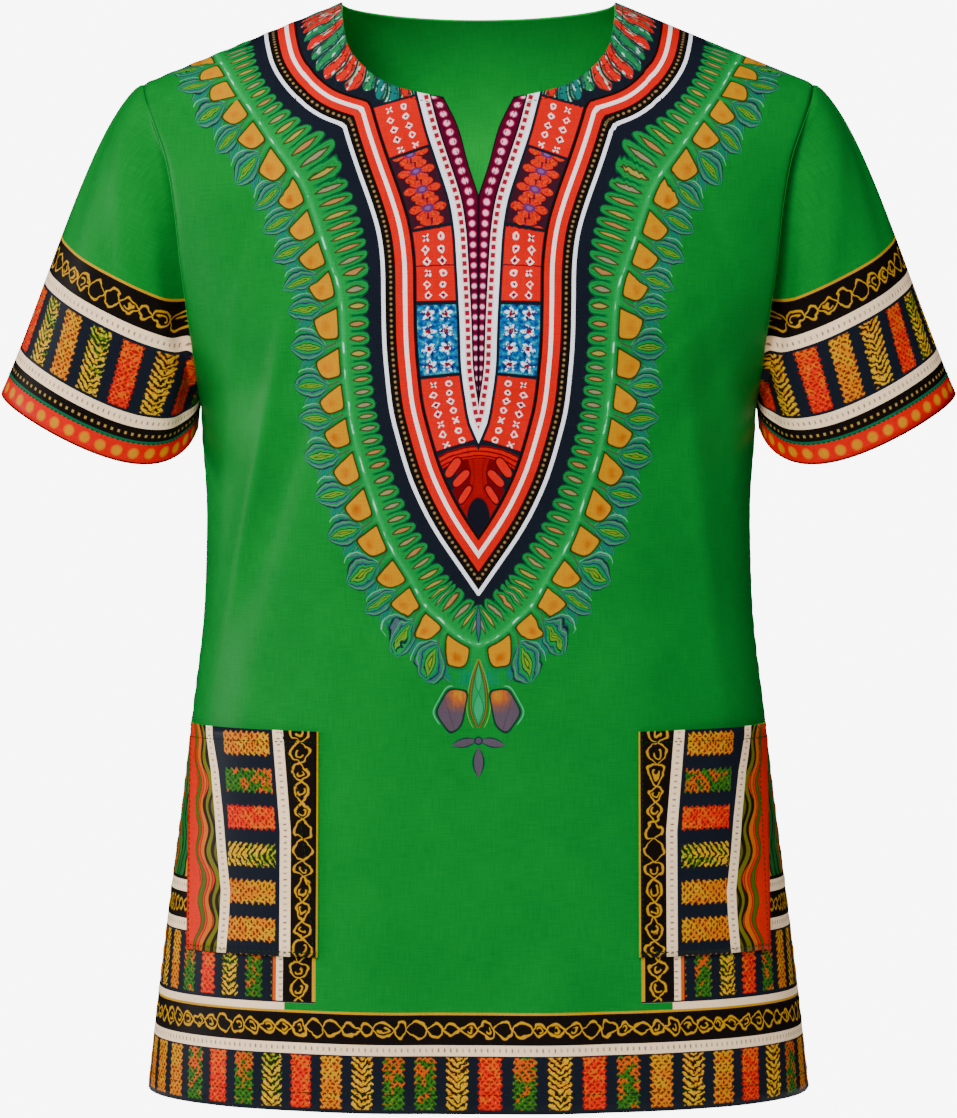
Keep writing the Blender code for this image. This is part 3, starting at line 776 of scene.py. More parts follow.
def bands_of_yoke(cloth, colour):
    """The bands along the yoke's line: red, white and red, gold dots on black, lavender, navy."""
    along, out = cloth.place("yoke")
    bands = out.steps((-6.8, BLACK), (-5.2, RED), (-1.4, PINK_WHITE), (1.4, RED), (6.0, BLACK),
                      (12.6, LAVENDER), (15.3, NAVY), (40.0, NAVY))
    dot, _ = along.repeat(3.5)
    far = distance(dot, out - 9.2)
    bands = bands.over(far.below(0.8, 0.8), (0.27, 0.17, 0.06))
    return colour.over(out.above(-6.8), bands)


def feathers(cloth, colour):
    """Red and teal feathers round the neck, on navy, pointing away from it."""
    turn, inward = cloth.place("fan")
    _, out = cloth.place("yoke")
    sway = (inward * 0.22).sin() * 1.1 + inward * 0.10
    across, number = (turn + sway).repeat(5.6)
    tip = (-out) - 8.2 - number.chance(8) * 4.0
    rounded = tip.scaled(0.25, 0.0, clamp=True).root()
    lobe = across.abs() - rounded * 2.75
    hue = number.chance(3)
    tint = hue.steps((0, RED), (0.50, (0.004, 0.12, 0.11)), (0.62, RED), (0.84, (0.01, 0.17, 0.05)),
                     (1.0, RED))
    streak = cloth.noise("fan", 0.42, (1.6, 0.30), 3)
    core = (across + (streak - 0.5) * 5.0).abs()
    tint = tint.printed(
        (core.above(1.5, 0.4) * hue.above(0.30, 0.01), (0.006, 0.10, 0.08)),
        (core.within(1.25, 1.75, 0.3), (0.020, 0.020, 0.018)),
        (core.within(2.0, 2.5, 0.3) * streak.above(0.50, 0.1), (0.10, 0.42, 0.20)),
        (streak.above(0.63, 0.04), (0.40, 0.56, 0.54)),
        (lobe.above(-0.45, 0.3), (0.012, 0.030, 0.028)))
    return colour.over(lobe.below(0.0, 0.3), tint)


def marked_panels(cloth, colour, along, middle, room):
    """Red panels with two columns of small white marks."""
    # The rows of marks start anew in each panel.
    starts, changes = (3.0, 87.6, 108.6, 181.4), (60.0, 107.4, 150.0)
    ahead = along - starts[0]
    for change, last, start in zip(changes, starts, starts[1:]):
        ahead = ahead + along.above(change, 0.01) * (last - start)
    row, number = ahead.repeat(6.95)
    column = middle.abs() - 5.0
    side = middle.above(0, 0.01)
    shake = (number * 2.3 + side * 5.1).chance(2) - 0.5
    drawn = cloth.noise("yoke", 0.38, detail=2) - 0.5
    mark, far = small_mark(column + shake * 1.2 + drawn * 2.2, row + drawn * 2.6,
                           (number * 3.7 + side * 11.3).chance(5))
    red = cloth.plain(RED).over(mark.below(0, 0.5), (0.90, 0.76, 0.74))
    red = red.over(far.below(0.75, 0.4) * shake.above(0, 0.01), (0.05, 0.006, 0.03))
    marked = along.within(2.0, 37.0)
    for panel in ((86.6, 107.2), (107.8, 129.6), (180.4, 228.6)):
        marked = marked.most(along.within(*panel))
    return colour.over(marked * room.above(0), red)


def stacked_flowers(cloth, colour, along, middle, room):
    """Wide orange-red flowers with violet hearts, one above the other on a dark ground."""
    row, _ = (along + 1.45).repeat(11.7)
    far = (middle.squared() * 0.36 + row.squared()).root()
    angle = (middle * 0.65).math("ARCTAN2", row)
    petals = (angle * 3.0 + 0.4).sin().abs()
    bloom = far - petals.scaled(2.2, 5.0)
    speck = cloth.noise("yoke", 0.6, detail=3)
    orange = speck.steps((0.32, RED_DEEP), (0.43, (0.56, 0.010, 0.002)),
                         (0.60, (0.58, 0.022, 0.001)), (0.74, (0.62, 0.16, 0.006)), smooth=True)
    orange = orange.printed(
        (petals.below(0.30, 0.2) * far.above(2.0, 1.0), (0.12, 0.006, 0.02)),
        (far.below(2.4, 0.4), (0.10, 0.02, 0.09)),
        (far.below(1.2, 0.5), (0.17, 0.06, 0.20)))
    ground = cloth.plain((0.035, 0.006, 0.014)).over(bloom.below(0, 0.5), orange)
    return colour.over(along.within(39.0, 84.4) * room.above(0), ground)


def blue_blossom(cloth, colour, along, middle, room):
    """White and pale blue blossom on a mottled blue ground."""
    row, number = (along - 132.2).repeat(11.5)
    column = middle.abs() - 5.6
    wobble = cloth.noise("yoke", 0.45, detail=1) - 0.5
    column, row = column + wobble * 4.0, row + wobble * 3.0
    far = distance(column, row)
    angle = column.math("ARCTAN2", row) + number * 0.9
    star = far - (angle * 2.5).sin().abs().scaled(3.0, 1.6)
    speck = cloth.noise("yoke", 0.33, detail=4)
    blue = speck.steps((0.30, (0.002, 0.010, 0.05)), (0.44, (0.003, 0.05, 0.20)),
                       (0.52, (0.003, 0.12, 0.36)), (0.60, (0.003, 0.20, 0.20)),
                       (0.70, (0.08, 0.46, 0.66)), smooth=True)
    blue = blue.printed(
        (star.below(0, 0.7) * speck.above(0.46, 0.05), (0.78, 0.84, 0.95)),
        (far.below(1.7, 0.5), (0.16, 0.006, 0.02)))
    return colour.over(along.within(132.2, 178.2) * room.above(0), blue)


def palmette(cloth, colour, room):
    """The yoke's foot: a cap of arched strokes and drooping red leaves over a dark oval."""
    width, height = cloth.place("cut")
    width, drop = width.abs(), -height
    wobble = cloth.noise("cut", 0.12, detail=2) - 0.5
    far = distance(width, drop - 348.3) + wobble * 2.0
    waist = (drop - 316.0).squared().scaled(0.022, 5.0)
    cap, trunk = (far - 46.6).abs() - 4.2, width - waist
    strokes = (far * 2.1).sin() * 0.9 + 0.45
    ribs = (width / waist * 9.0 + wobble * 3.0).sin() * 0.9 + 0.5
    under = far.below(46.0, 0.6)
    foot = cloth.plain(NAVY).over((trunk - 9.0).below(0, 1.5) * under, (0.12, 0.002, 0.004))
    foot = foot.printed(
        (trunk.below(0, 0.6) * under, (0.22, 0.002, 0.003)),
        (trunk.below(-0.3, 0.5) * ribs.above(0, 0.7) * under, RED_DEEP),
        (cap.below(0, 0.5), (0.13, 0.002, 0.004)),
        (cap.below(-0.5, 0.5) * strokes.above(0, 0.6), (0.50, 0.002, 0.001)))
    leaves = ((16.2, 311.6, 0.95, 7.2, 2.8), (11.0, 318.4, 0.80, 6.8, 2.6),
              (8.6, 328.8, 1.00, 6.6, 2.1))
    for x, y, angle, length, half in leaves:
        along, across = leaf_axes(width - x, drop - y, angle)
        leaf = ((along / length).power(4.0) + (across / half).squared() - 1.0) * (half * 0.5)
        foot = foot.printed(
            (leaf.below(0.7, 0.5), (0.012, 0.003, 0.008)),
            (leaf.below(-0.1, 0.5), (0.58, 0.004, 0.001)))
    eye = ((width / 6.9).squared() + ((drop - 343.6) / 12.4).squared() - 1.0) * 4.6
    foot = foot.printed(
        (eye.below(2.4, 0.8), (0.24, 0.002, 0.003)),
        (eye.below(0.4, 0.8), (0.006, 0.006, 0.012)))
    return colour.over(room, foot)


def placket_bands(cloth, colour, step, beyond, inward):
    """Along the slit: a white band with square red dots, then pink dots on maroon."""
    inner = (-beyond) - 4.2
    edge = cloth.plain(MAROON)
    spot, _ = step.repeat(6.6)
    centre = (inner - inward) * 0.5
    size = (inner + inward).scaled(0.085, 1.0)
    far = distance(spot, centre) - size
    edge = edge.printed(
        (far.below(0.9, 0.8), (0.26, 0.004, 0.05)),
        (far.below(0, 0.8), PINK),
        (inner.least(inward).below(0.8, 0.5), (0.014, 0.002, 0.008)))
    white = cloth.plain(LAVENDER)
    square, _ = step.repeat(5.3)
    red_dot = (square.abs() - 1.6).most((beyond + 1.6).abs() - 1.45)
    white = white.printed(
        (beyond.below(0.5), (0.92, 0.66, 0.64)),
        (red_dot.below(0, 0.5), (0.28, 0.004, 0.020)))
    return colour.printed(
        (beyond.below(5.2), NAVY),
        (beyond.below(3.4), white),
        (beyond.below(-3.9), edge))


def yoke_cotton(name, with_placket):
    """The yoke's print inside its navy edge."""
    cloth = Cotton(name)
    along, out = cloth.place("yoke")
    colour = feathers(cloth, cloth.plain(NAVY))
    if with_placket:
        step, beyond = cloth.place("placket")
        _, inward = cloth.place("fan")
        left, right = (-out) - 7.4, beyond - 5.2
        middle, room = (left - right) * 0.5, left.least(right)
        colour = colour.over(along.above(0.6), NAVY)
        colour = marked_panels(cloth, colour, along, middle, room)
        colour = stacked_flowers(cloth, colour, along, middle, room)
        colour = blue_blossom(cloth, colour, along, middle, room)
        colour = palmette(cloth, colour, beyond.above(5.2) * along.above(230.2) * left.above(0))
        colour = placket_bands(cloth, colour, step, beyond, inward)
    return cloth.finish(bands_of_yoke(cloth, colour))


def leaf_spray(cloth, colour, room):
    """One spray for each drop: a broad leaf of nested strokes, a side leaf and its stalk."""
    along, out = cloth.place("leaves")
    x, _ = along.repeat(DROP_PITCH, DROP_PITCH / 2)
    wobble = cloth.noise("ring", 0.16, detail=2) - 0.5
    fine = cloth.noise("ring", 0.30, (1.0, 0.7), 2)
    y = out - 12.0
    x = x + wobble * 2.2
    for lean, length, width, aside in ((0.50, 20.0, 4.2, 2.4), (-0.42, 17.0, 3.6, -1.8),
                                       (0.0, 24.5, 7.2, 0.0)):
        half = length / 2
        to_end = ((y - half) / half).squared()
        taper = to_end.scaled(-1.0, 1.0).most(0.0003).power(0.78) * width
        value = (x - y * lean - aside).abs() / taper + (fine - 0.5) * 0.13
        value = value + (1.0 - value.least(1.0)) * to_end * 0.42
        value = value + (y - half).abs().above(half, 0.1) * 9.0
        tint = value.steps((0.0, LIME), (0.05, (0.010, 0.045, 0.012)), (0.10, (0.085, 0.24, 0.015)),
                           (0.24, (0.006, 0.030, 0.024)), (0.30, GREEN_WASH),
                           (0.46, (0.005, 0.14, 0.09)), (0.54, (0.006, 0.026, 0.032)),
                           (0.60, GREY_BLUE), (0.70, GREEN_WASH), (0.80, (0.060, 0.20, 0.13)),
                           (0.86, (0.045, 0.085, 0.10)), (0.94, (0.004, 0.014, 0.018)),
                           (1.1, (0.004, 0.014, 0.018)))
        if aside:
            tint = tint.over(value.below(0.26, 0.1), (0.005, 0.13, 0.11))
        colour = colour.over(value.below(1.05, 0.12) * room, tint)
    edge = ((x + 1.0) + (y - 13.0).squared().scaled(-0.052, 9.4)).abs() - 0.32
    edge = edge.most((y - 10.0).abs() - 10.0)
    colour = colour.over(edge.below(0, 0.4) * room * 0.8, (0.11, 0.42, 0.26))
    stalk = ((x - y * 0.35).abs() - 0.4).most((y + 3.5).abs() - 4.0)
    return colour.over(stalk.below(0.1, 0.5) * room, (0.050, 0.060, 0.040))


def gold_drops(cloth, colour, room):
    """A row of golden drops with one sharp corner, in a soft dark edge."""
    along, out = cloth.place("ring")
    x, number = along.repeat(DROP_PITCH)
    lean = number.chance(4) - 0.5
    y = out - 11.0
    flip = along.above(-392.0, 0.01) * 2.0 - 1.0
    x = x * flip + lean * 1.2 + y * (lean * 0.35)
    y = y + lean * 0.8
    drop = rounded_shape(x, y, ((0.0, -1.0, 7.8, 0.0), (-0.93, 0.36, 6.5, 1.2),
                                (0.30, 0.95, 7.0, 3.8), (0.80, 0.60, 7.3, 3.8),
                                (0.99, -0.10, 7.0, 3.8)))
    blush = cloth.noise("ring", 0.11, detail=2)
    heart = (x.squared() + (y - 1.0).squared()) * 0.05 + (blush - 0.5) * 3.0
    gold = heart.steps((-0.5, GOLD_SHADE), (0.3, (0.46, 0.160, 0.0003)), (0.9, GOLD), (2.0, GOLD),
                       smooth=True)
    return colour.printed(
        (drop.below(2.0, 1.4) * room * 0.55, (0.003, 0.12, 0.022)),
        (drop.below(0.55, 0.5) * room, (0.022, 0.026, 0.005)),
        (drop.below(-0.45, 0.5) * room, gold))


# Below this drop, in millimetres, the fingers' navy edge narrows by this share of the way down.
NARROWING_DROP, NARROWING = 384.0, 0.32


def fingers(cloth, colour):
    """Green fingers that end in the navy edge, each with a tan spindle in a brown line."""
    along, out = cloth.place("ring")
    _, from_yoke = cloth.place("yoke")
    _, height = cloth.place("cut")
    from_yoke = from_yoke + (-height - NARROWING_DROP).most(0.0) * NARROWING
    wobble = cloth.noise("ring", 0.12, (1.0, 0.6), 2) - 0.5
    finger, number = (along + wobble * 1.6).repeat(8.25, 4.12)
    start, end = (-out) - 4.2, from_yoke - 24.2
    part = start / (start + end).most(1.0)
    swell = (part - 0.42).squared().scaled(-2.6, 1.0).most(0.0)
    lobe = finger.abs() - swell.power(0.30) * 4.1
    sag = (number.chance(2) - 0.5) * 0.7
    spindle = (part - 0.45 - sag * 0.08) / 0.42
    spindle = (finger + sag).abs() - spindle.squared().scaled(-1.35, 1.35)
    green = cloth.plain(GREEN_WASH).over(lobe.within(-0.55, 0.35, 0.5) * part.above(0.12, 0.3),
                                         (0.002, 0.075, 0.020))
    green = green.printed(
        (((lobe + 1.6).abs() - 0.2).below(0, 0.6) * part.above(0.35, 0.4) * 0.6,
         (0.003, 0.10, 0.030)),
        (spindle.below(0.55, 0.6), (0.028, 0.032, 0.008)))
    skin = number.chance(7).steps((0, TAN), (0.35, (0.24, 0.20, 0.08)), (0.6, (0.20, 0.19, 0.10)),
                                  (0.85, (0.30, 0.24, 0.04)), (1.0, TAN))
    green = green.over(spindle.below(-0.30, 0.5), skin)
    colour = colour.over(start.above(0), green)
    beyond = (lobe.above(0.15, 0.5) * part.above(0.74, 0.06)).most(from_yoke.below(22.6))
    return colour.over(beyond, NAVY)


def pendant(cloth, colour):
    """Two bowed stems with a tulip on each side, and three small leaves below them."""
    width, height = cloth.place("cut")
    side, drop = width.abs(), -height
    tongue = side - ((drop - 410.7) / 10.5).squared().scaled(-1.2, 1.35)
    colour = colour.printed(
        (tongue.below(0.4, 0.4), (0.006, 0.035, 0.030)),
        (tongue.below(-0.2, 0.4), GREY_BLUE))
    down = (drop - 433.5) / 43.5
    inside = down.within(0.0, 1.0, 0.02)
    above, under = (down - 0.66).least(0.0) / 0.66, (down - 0.66).most(0.0) / 0.36
    bow = (above.squared() + under.squared()).scaled(-5.2, 5.2)
    lens = side - bow * (down * (2 * math.pi)).sin().abs() * 0.62
    colour = colour.printed(
        ((side - bow).below(0) * inside, (0.004, 0.23, 0.060)),
        (lens.below(0) * inside, (0.006, 0.28, 0.095)),
        ((lens.abs() - 0.2).below(0, 0.5) * inside * 0.8, (0.006, 0.075, 0.020)))
    stem = (side - bow).abs() - 0.5
    colour = colour.printed(
        (stem.below(0.5, 0.5) * inside, (0.028, 0.040, 0.010)),
        (stem.below(-0.05, 0.4) * inside, (0.15, 0.105, 0.012)))
    far_stem = ((side - bow - down * 2.6 - 0.5).abs() - 0.3).below(0, 0.4) * inside
    colour = colour.over(far_stem, (0.10, 0.30, 0.03))
    # Tulips.
    x, y = side - 17.6, drop - 467.0
    tulip = rounded_shape(x, y, ((-0.98, 0.18, 8.0, 0.0), (-0.13, -0.99, 14.0, 6.5),
                                 (0.87, -0.49, 8.0, 6.5), (0.82, 0.57, 8.2, 6.5),
                                 (-0.52, 0.85, 11.6, 6.5)))
    fine = cloth.noise("cut", 0.55, (1.0, 0.35), 2)
    flame = distance(x + 5.5, y + 11.0) + (fine - 0.5) * 9.0
    petal = flame.steps((0, (0.40, 0.19, 0.01)), (4.0, (0.36, 0.085, 0.012)),
                        (8.5, (0.15, 0.060, 0.045)), (12.5, PENDANT_GREY), (30, PENDANT_GREY),
                        smooth=True)
    petal = petal.over(((x + y * 0.32 - 1.5).abs() - 0.25).below(0, 0.4) * 0.5, (0.03, 0.02, 0.03))
    colour = colour.printed(
        (((tulip - 2.4).abs() - 0.35).below(0, 0.4) * x.above(-1.0, 2.0) * y.below(8.0, 2.0),
         (0.05, 0.36, 0.16)),
        (tulip.below(1.1, 0.4), (0.005, 0.024, 0.016)),
        (tulip.below(0.0, 0.4), petal))
    # Three leaves and their knot.
    for x, y, angle, length, half in ((8.9, 486.8, 0.20, 8.4, 2.5), (0, 499.3, 1.571, 9.6, 3.1)):
        along, across = leaf_axes(side - x, drop - y, angle)
        leaf = across.abs() / (along / length).squared().scaled(-half, half).most(0.02)
        leaf = leaf + (along.abs() - length).above(0, 0.05) * 5.0
        colour = colour.printed(
            (leaf.below(1.25, 0.14), (0.005, 0.022, 0.026)),
            (leaf.below(0.92, 0.12), PENDANT_GREY),
            (leaf.within(0.30, 0.44, 0.1) * 0.7, (0.030, 0.060, 0.080)))
    knot = distance(side, drop - 485.6)
    return colour.printed(
        (knot.below(2.7, 0.4), (0.006, 0.016, 0.026)),
        (knot.below(1.9, 0.4), (0.07, 0.045, 0.085)))


def ring_cotton(name, front):
    """The ring round the yoke: fingers, a pale line, golden drops and sprays of leaves."""
    cloth = Cotton(name)
    along, out = cloth.place("ring")
    colour = cloth.plain(GREEN).over((out.abs() - 18.0).below(0, 30.0), GREEN_WASH)
    colour = fingers(cloth, colour)
    glint = cloth.noise("ring", 0.16, (0.5, 1.6), 3)
    colour = colour.printed(
        ((out.abs() - 1.4).below(0, 2.6) * 0.5, GREEN_PALE),
        ((out.abs() - 0.4).below(0, 0.8) * glint.above(0.55, 0.05), (0.36, 0.85, 0.58)))
    shade = cloth.noise("ring", 0.07, detail=1)
    wash = (out - 21.0).abs().below(6.0, 9.0) * shade.above(0.50, 0.2) * 0.5
    colour = colour.over(wash, (0.006, 0.15, 0.125))
    leaf_along, _ = cloth.place("leaves")
    sprays = leaf_along.below(-12.5, 0.05) if front else leaf_along.below(0, 0.05)
    colour = leaf_spray(cloth, colour, sprays * out.above(4.0, 0.1))
    colour = gold_drops(cloth, colour, along.below(0, 0.05) * out.above(0.5, 0.1))
    return cloth.finish(pendant(cloth, colour) if front else colour)


# The hues of plaited blocks: yellow, leafy yellow, orange, red and green.
HUES = {"Y": 0.1, "L": 0.3, "O": 0.5, "R": 0.7, "G": 0.9}


def braids(cloth, colour, x, y, title, blocks, half_width, half_length, start, letters):
    """A row of plaited blocks along x, each of curls along y, downwards.

    blocks is the row's pitch and shift; letters gives the hue of each block from number start on.
    """
    x, number = x.repeat(*blocks)
    hue = number.steps(*[(start + k - 0.5, (HUES[letter],) * 3)
                         for k, letter in enumerate(letters)])
    wobble = cloth.noise(title, 0.26, detail=3) - 0.5
    fine = cloth.noise(title, 0.55, detail=3) - 0.5
    x, y = x + wobble * 3.0, y + fine * 1.6
    edge = x.abs() - (y * 1.45 + hue * 9.0).sin().scaled(0.75, half_width - 0.75)
    shape = edge.most(y.abs() - half_length)
    leafy = (y * 1.50 + x.abs() * 1.10 + wobble * 11.0).sin() + fine * 3.0
    plait = (y * 1.45 + x * 1.35 + wobble * 7.0).sin().most(
        (y * 1.45 - x * 1.35 - wobble * 6.0).sin() - 0.15) + fine * 2.4 - 0.35
    curls = leafy + (plait - leafy) * hue.above(0.4, 0.01)
    first = hue.steps((0, YELLOW), (0.2, YELLOW), (0.4, (0.52, 0.145, 0.0004)), (0.6, RED_ORANGE),
                      (0.8, (0.020, 0.110, 0.006)), (1.0, BLACK))
    second = hue.steps((0, (0.48, 0.16, 0.0005)), (0.2, LEAF_GREEN), (0.4, YELLOW),
                       (0.6, (0.57, 0.080, 0.0005)), (0.8, (0.52, 0.060, 0.001)), (1.0, BLACK))
    glow = hue.steps((0, (0.66, 0.42, 0.012)), (0.4, (0.66, 0.30, 0.004)),
                     (0.6, (0.68, 0.17, 0.003)), (0.8, (0.15, 0.27, 0.02)), (1.0, BLACK))
    ground = hue.steps((0, (0.014, 0.010, 0.003)), (0.2, (0.010, 0.016, 0.005)),
                       (0.4, (0.15, 0.016, 0.002)), (0.6, (0.30, 0.0015, 0.001)),
                       (0.8, (0.010, 0.030, 0.008)), (1.0, BLACK))
    patch = cloth.noise(title, 0.15, detail=2) - y * (0.11 / half_length)
    tint = first.over(patch.above(0.53, 0.08), second)
    tint = tint.over(curls.above(0.80, 0.35) * 0.7, glow)
    return colour.over(shape.below(0, 0.5), ground.over(curls.above(-0.25, 0.45), tint))


def chain(cloth, colour, band, x, y, title, pitch, height):
    """A yellow interlaced chain along x in a band: two crossing cords and their small hooks."""
    wobble = cloth.noise(title, 0.10, detail=2) - 0.5
    x, y = x + wobble * 12.0, y + wobble * 2.4
    swell = (x * (0.37 * math.pi / pitch)).sin().scaled(0.20 * height, height)
    wave = (x * (math.pi / pitch)).sin() * swell
    cord = ((y - wave).abs() - 0.80).least((y + wave).abs() - 0.80)
    loop, number = x.repeat(pitch)
    turn = number.chance(5) * 3.0 - 1.5
    far = distance(loop, y)
    hook = ((far - height * 0.42).abs() - 0.55).most(-1.0 - loop - y * turn)
    hook = hook + number.chance(9).above(0.62, 0.01) * 4.0
    return colour.over(cord.least(hook).below(0, 0.5) * band, YELLOW)


def ticks(colour, x, y, pitch=3.9):
    """Small dark ticks along the middle of a cream band."""
    step, number = x.repeat(pitch)
    mark = (step.abs() - 0.50).most((y - step * 0.3).abs() - 1.15)
    strength = number.chance(6).scaled(0.40, 0.55)
    return colour.over(mark.below(0, 0.6) * strength, (0.11, 0.05, 0.025))


def border_cotton(name):
    """The border of the hem, and the printed corners that the pockets lie on."""
    cloth = Cotton(name)
    width, height = cloth.place("cut")
    drop, side = -height, width.abs()
    colour = cloth.plain(GREEN)
    # Corner print: rows from the pockets' height down to the hem's border.
    inside = side - 106.0
    rows = drop.steps((480, BLACK), (579.5, CREAM), (587.5, BLACK), (604.5, CREAM), (611.5, NAVY),
                      (652.5, CREAM), (658.5, BLACK), (722, BLACK))
    wobble = cloth.noise("cut", 0.05, detail=2) - 0.5
    scroll, number = (side - 232.0 + (drop * 0.16).sin() * 3.0 + wobble * 16.0).repeat(7.5)
    vine = number.chance(8).steps((0, (0.02, 0.15, 0.02)), (0.3, (0.42, 0.07, 0.005)),
                                  (0.55, (0.01, 0.11, 0.02)), (0.8, (0.46, 0.19, 0.004)),
                                  (1.0, RED))
    rows = rows.over((scroll.abs() - 2.6).below(0, 0.6) * drop.within(484, 578), vine)
    rows = chain(cloth, rows, drop.within(588, 604), side, drop - 596.0, "cut", 7.0, 4.2)
    rows = ticks(rows, side, (drop - 583.5).least((drop - 608.0).abs()), 3.6)
    rows = braids(cloth, rows, side, drop - 632.0, "cut", (18.8, -7.2), 6.5, 18.5, 7, "GLRGOYORG")
    # Upright strips on the corner's inner edge: a chain on black, then a cream one.
    strip = inside.steps((-1.0, YELLOW), (0.2, BLACK), (20.2, CREAM), (25.6, ORANGE), (27.8, NAVY),
                         (300, NAVY))
    strip = chain(cloth, strip, inside.within(1.5, 19), drop, inside - 10.2, "cut", 12.5, 5.4)
    strip = ticks(strip, drop, inside - 22.9)
    rows = rows.over(inside.below(29.0) * drop.below(652.0), strip)
    above_hem = inside.above(20.2, 0.2).most(drop.below(653.0, 0.2))
    corner = inside.above(-1.0, 0.2) * drop.above(484.0, 0.2) * above_hem
    colour = colour.over(corner, rows)
    # Hem: yellow line, chain on black, cream with ticks, and upright plaited blocks on navy.
    hem = drop.steps((657.6, YELLOW), (659.0, BLACK), (677.8, CREAM), (684.6, NAVY), (722, BLACK))
    hem = chain(cloth, hem, drop.within(660, 677.4), width, drop - 668.4, "cut", 11.0, 4.6)
    hem = ticks(hem, width, drop - 681.2)
    hem = braids(cloth, hem, width + width.least(0.0) * 0.10, drop - 702.0, "cut", (22.2, 3.8),
                 7.9, 16.4, -12, "OOGRGLROYGGYRGYRGOYORYGO")
    return cloth.finish(colour.over(drop.above(657.6, 0.2), hem))


front_cottons = [yoke_cotton("yoke_print", True), ring_cotton("ring_print", True),
                 border_cotton("border_print"), plain_green, inside_green_painted_light]
back_cottons = [yoke_cotton("back_yoke_print", False), ring_cotton("back_ring_print", False),
                *front_cottons[2:]]
YOKE_PRINT, RING_PRINT, BORDER_PRINT, NO_PRINT = range(4)     # their places in those lists

# Where the prints reach on the cut, in millimetres: the yoke's edge, the ring's, the pendant's half
# width, top and foot, and the tops of the hem's border and of its corners, with their inner side.
YOKE_EDGE, RING_EDGE = 19.5, 56
PENDANT_HALF, PENDANT_TOP, PENDANT_FOOT = 40, 380, 516
BORDER_TOP, CORNER_TOP, CORNER_SIDE = 650, 478, 98


def print_slots(maps, front):
    """Which of the cottons each cell of a front or back has, by where its middle lies."""
    def middle(values):
        return (values[:-1, :-1] + values[1:, :-1] + values[:-1, 1:] + values[1:, 1:]) / 4

    yoke, ring = middle(maps["yoke"])[..., 1], middle(maps["ring"])[..., 1]
    cut = middle(maps["cut"])
    side, drop = np.abs(cut[..., 0]), -cut[..., 1]
    slots = np.full(yoke.shape, NO_PRINT)
    slots[(drop > BORDER_TOP) | ((drop > CORNER_TOP) & (side > CORNER_SIDE))] = BORDER_PRINT
    slots[ring < RING_EDGE] = RING_PRINT
    if front:
        slots[(side < PENDANT_HALF) & (drop > PENDANT_TOP) & (drop < PENDANT_FOOT)] = RING_PRINT
    slots[yoke + np.maximum(drop - NARROWING_DROP, 0) * NARROWING < YOKE_EDGE] = YOKE_PRINT
    return slots


# A dark green sewing thread: two plies twisted together, with painted shade in the grooves between
# them.
sewing = Cotton("sewing_thread")
thread_along, thread_round = sewing.place("thread")
ply = (thread_along * 5.2 + thread_round * 2.9).sin()
thread_green, painted_groove_shade = sewing.plain((0.004, 0.040, 0.010)), (0.002, 0.014, 0.005)
# The darker stripes are painted shade in the grooves between the plies.
sewing_thread = sewing.finish(thread_green.over(ply.below(-0.2, 0.6), painted_groove_shade), "thread")
STITCH, STITCH_GAP, THREAD = 0.0026, 0.0009, 0.00034     # length, gap and half the thickness
THREAD_SIDES = 5
THREAD_FULL = (0.28, 0.72)    # the part of a stitch between which its thread is full
THREAD_SUNK, THREAD_PROUD = 0.4, 0.35     # how deep its ends and how high its middle lie
NECK_STITCHES = 5.0           # millimetres inside the neck edge
NECK_SEWN_TO = {"front": 0.143, "back": 0.020}     # the drop that those stitches reach down to
HEM_STITCHES = -709           # where the hem's stitches lie on the flat cut


def level_line(points, values, level):
    """Where the values on a grid's columns first pass a level, from the last row back."""
    line = []
    for column, value in zip(points.swapaxes(0, 1), values.T):
        over = (value[1:] - level) * (value[:-1] - level) <= 0
        if over.any():
            i = np.flatnonzero(over)[-1]
            part = (level - value[i]) / (value[i + 1] - value[i])
            line.append(column[i] + (column[i + 1] - column[i]) * part)
    return np.array(line)


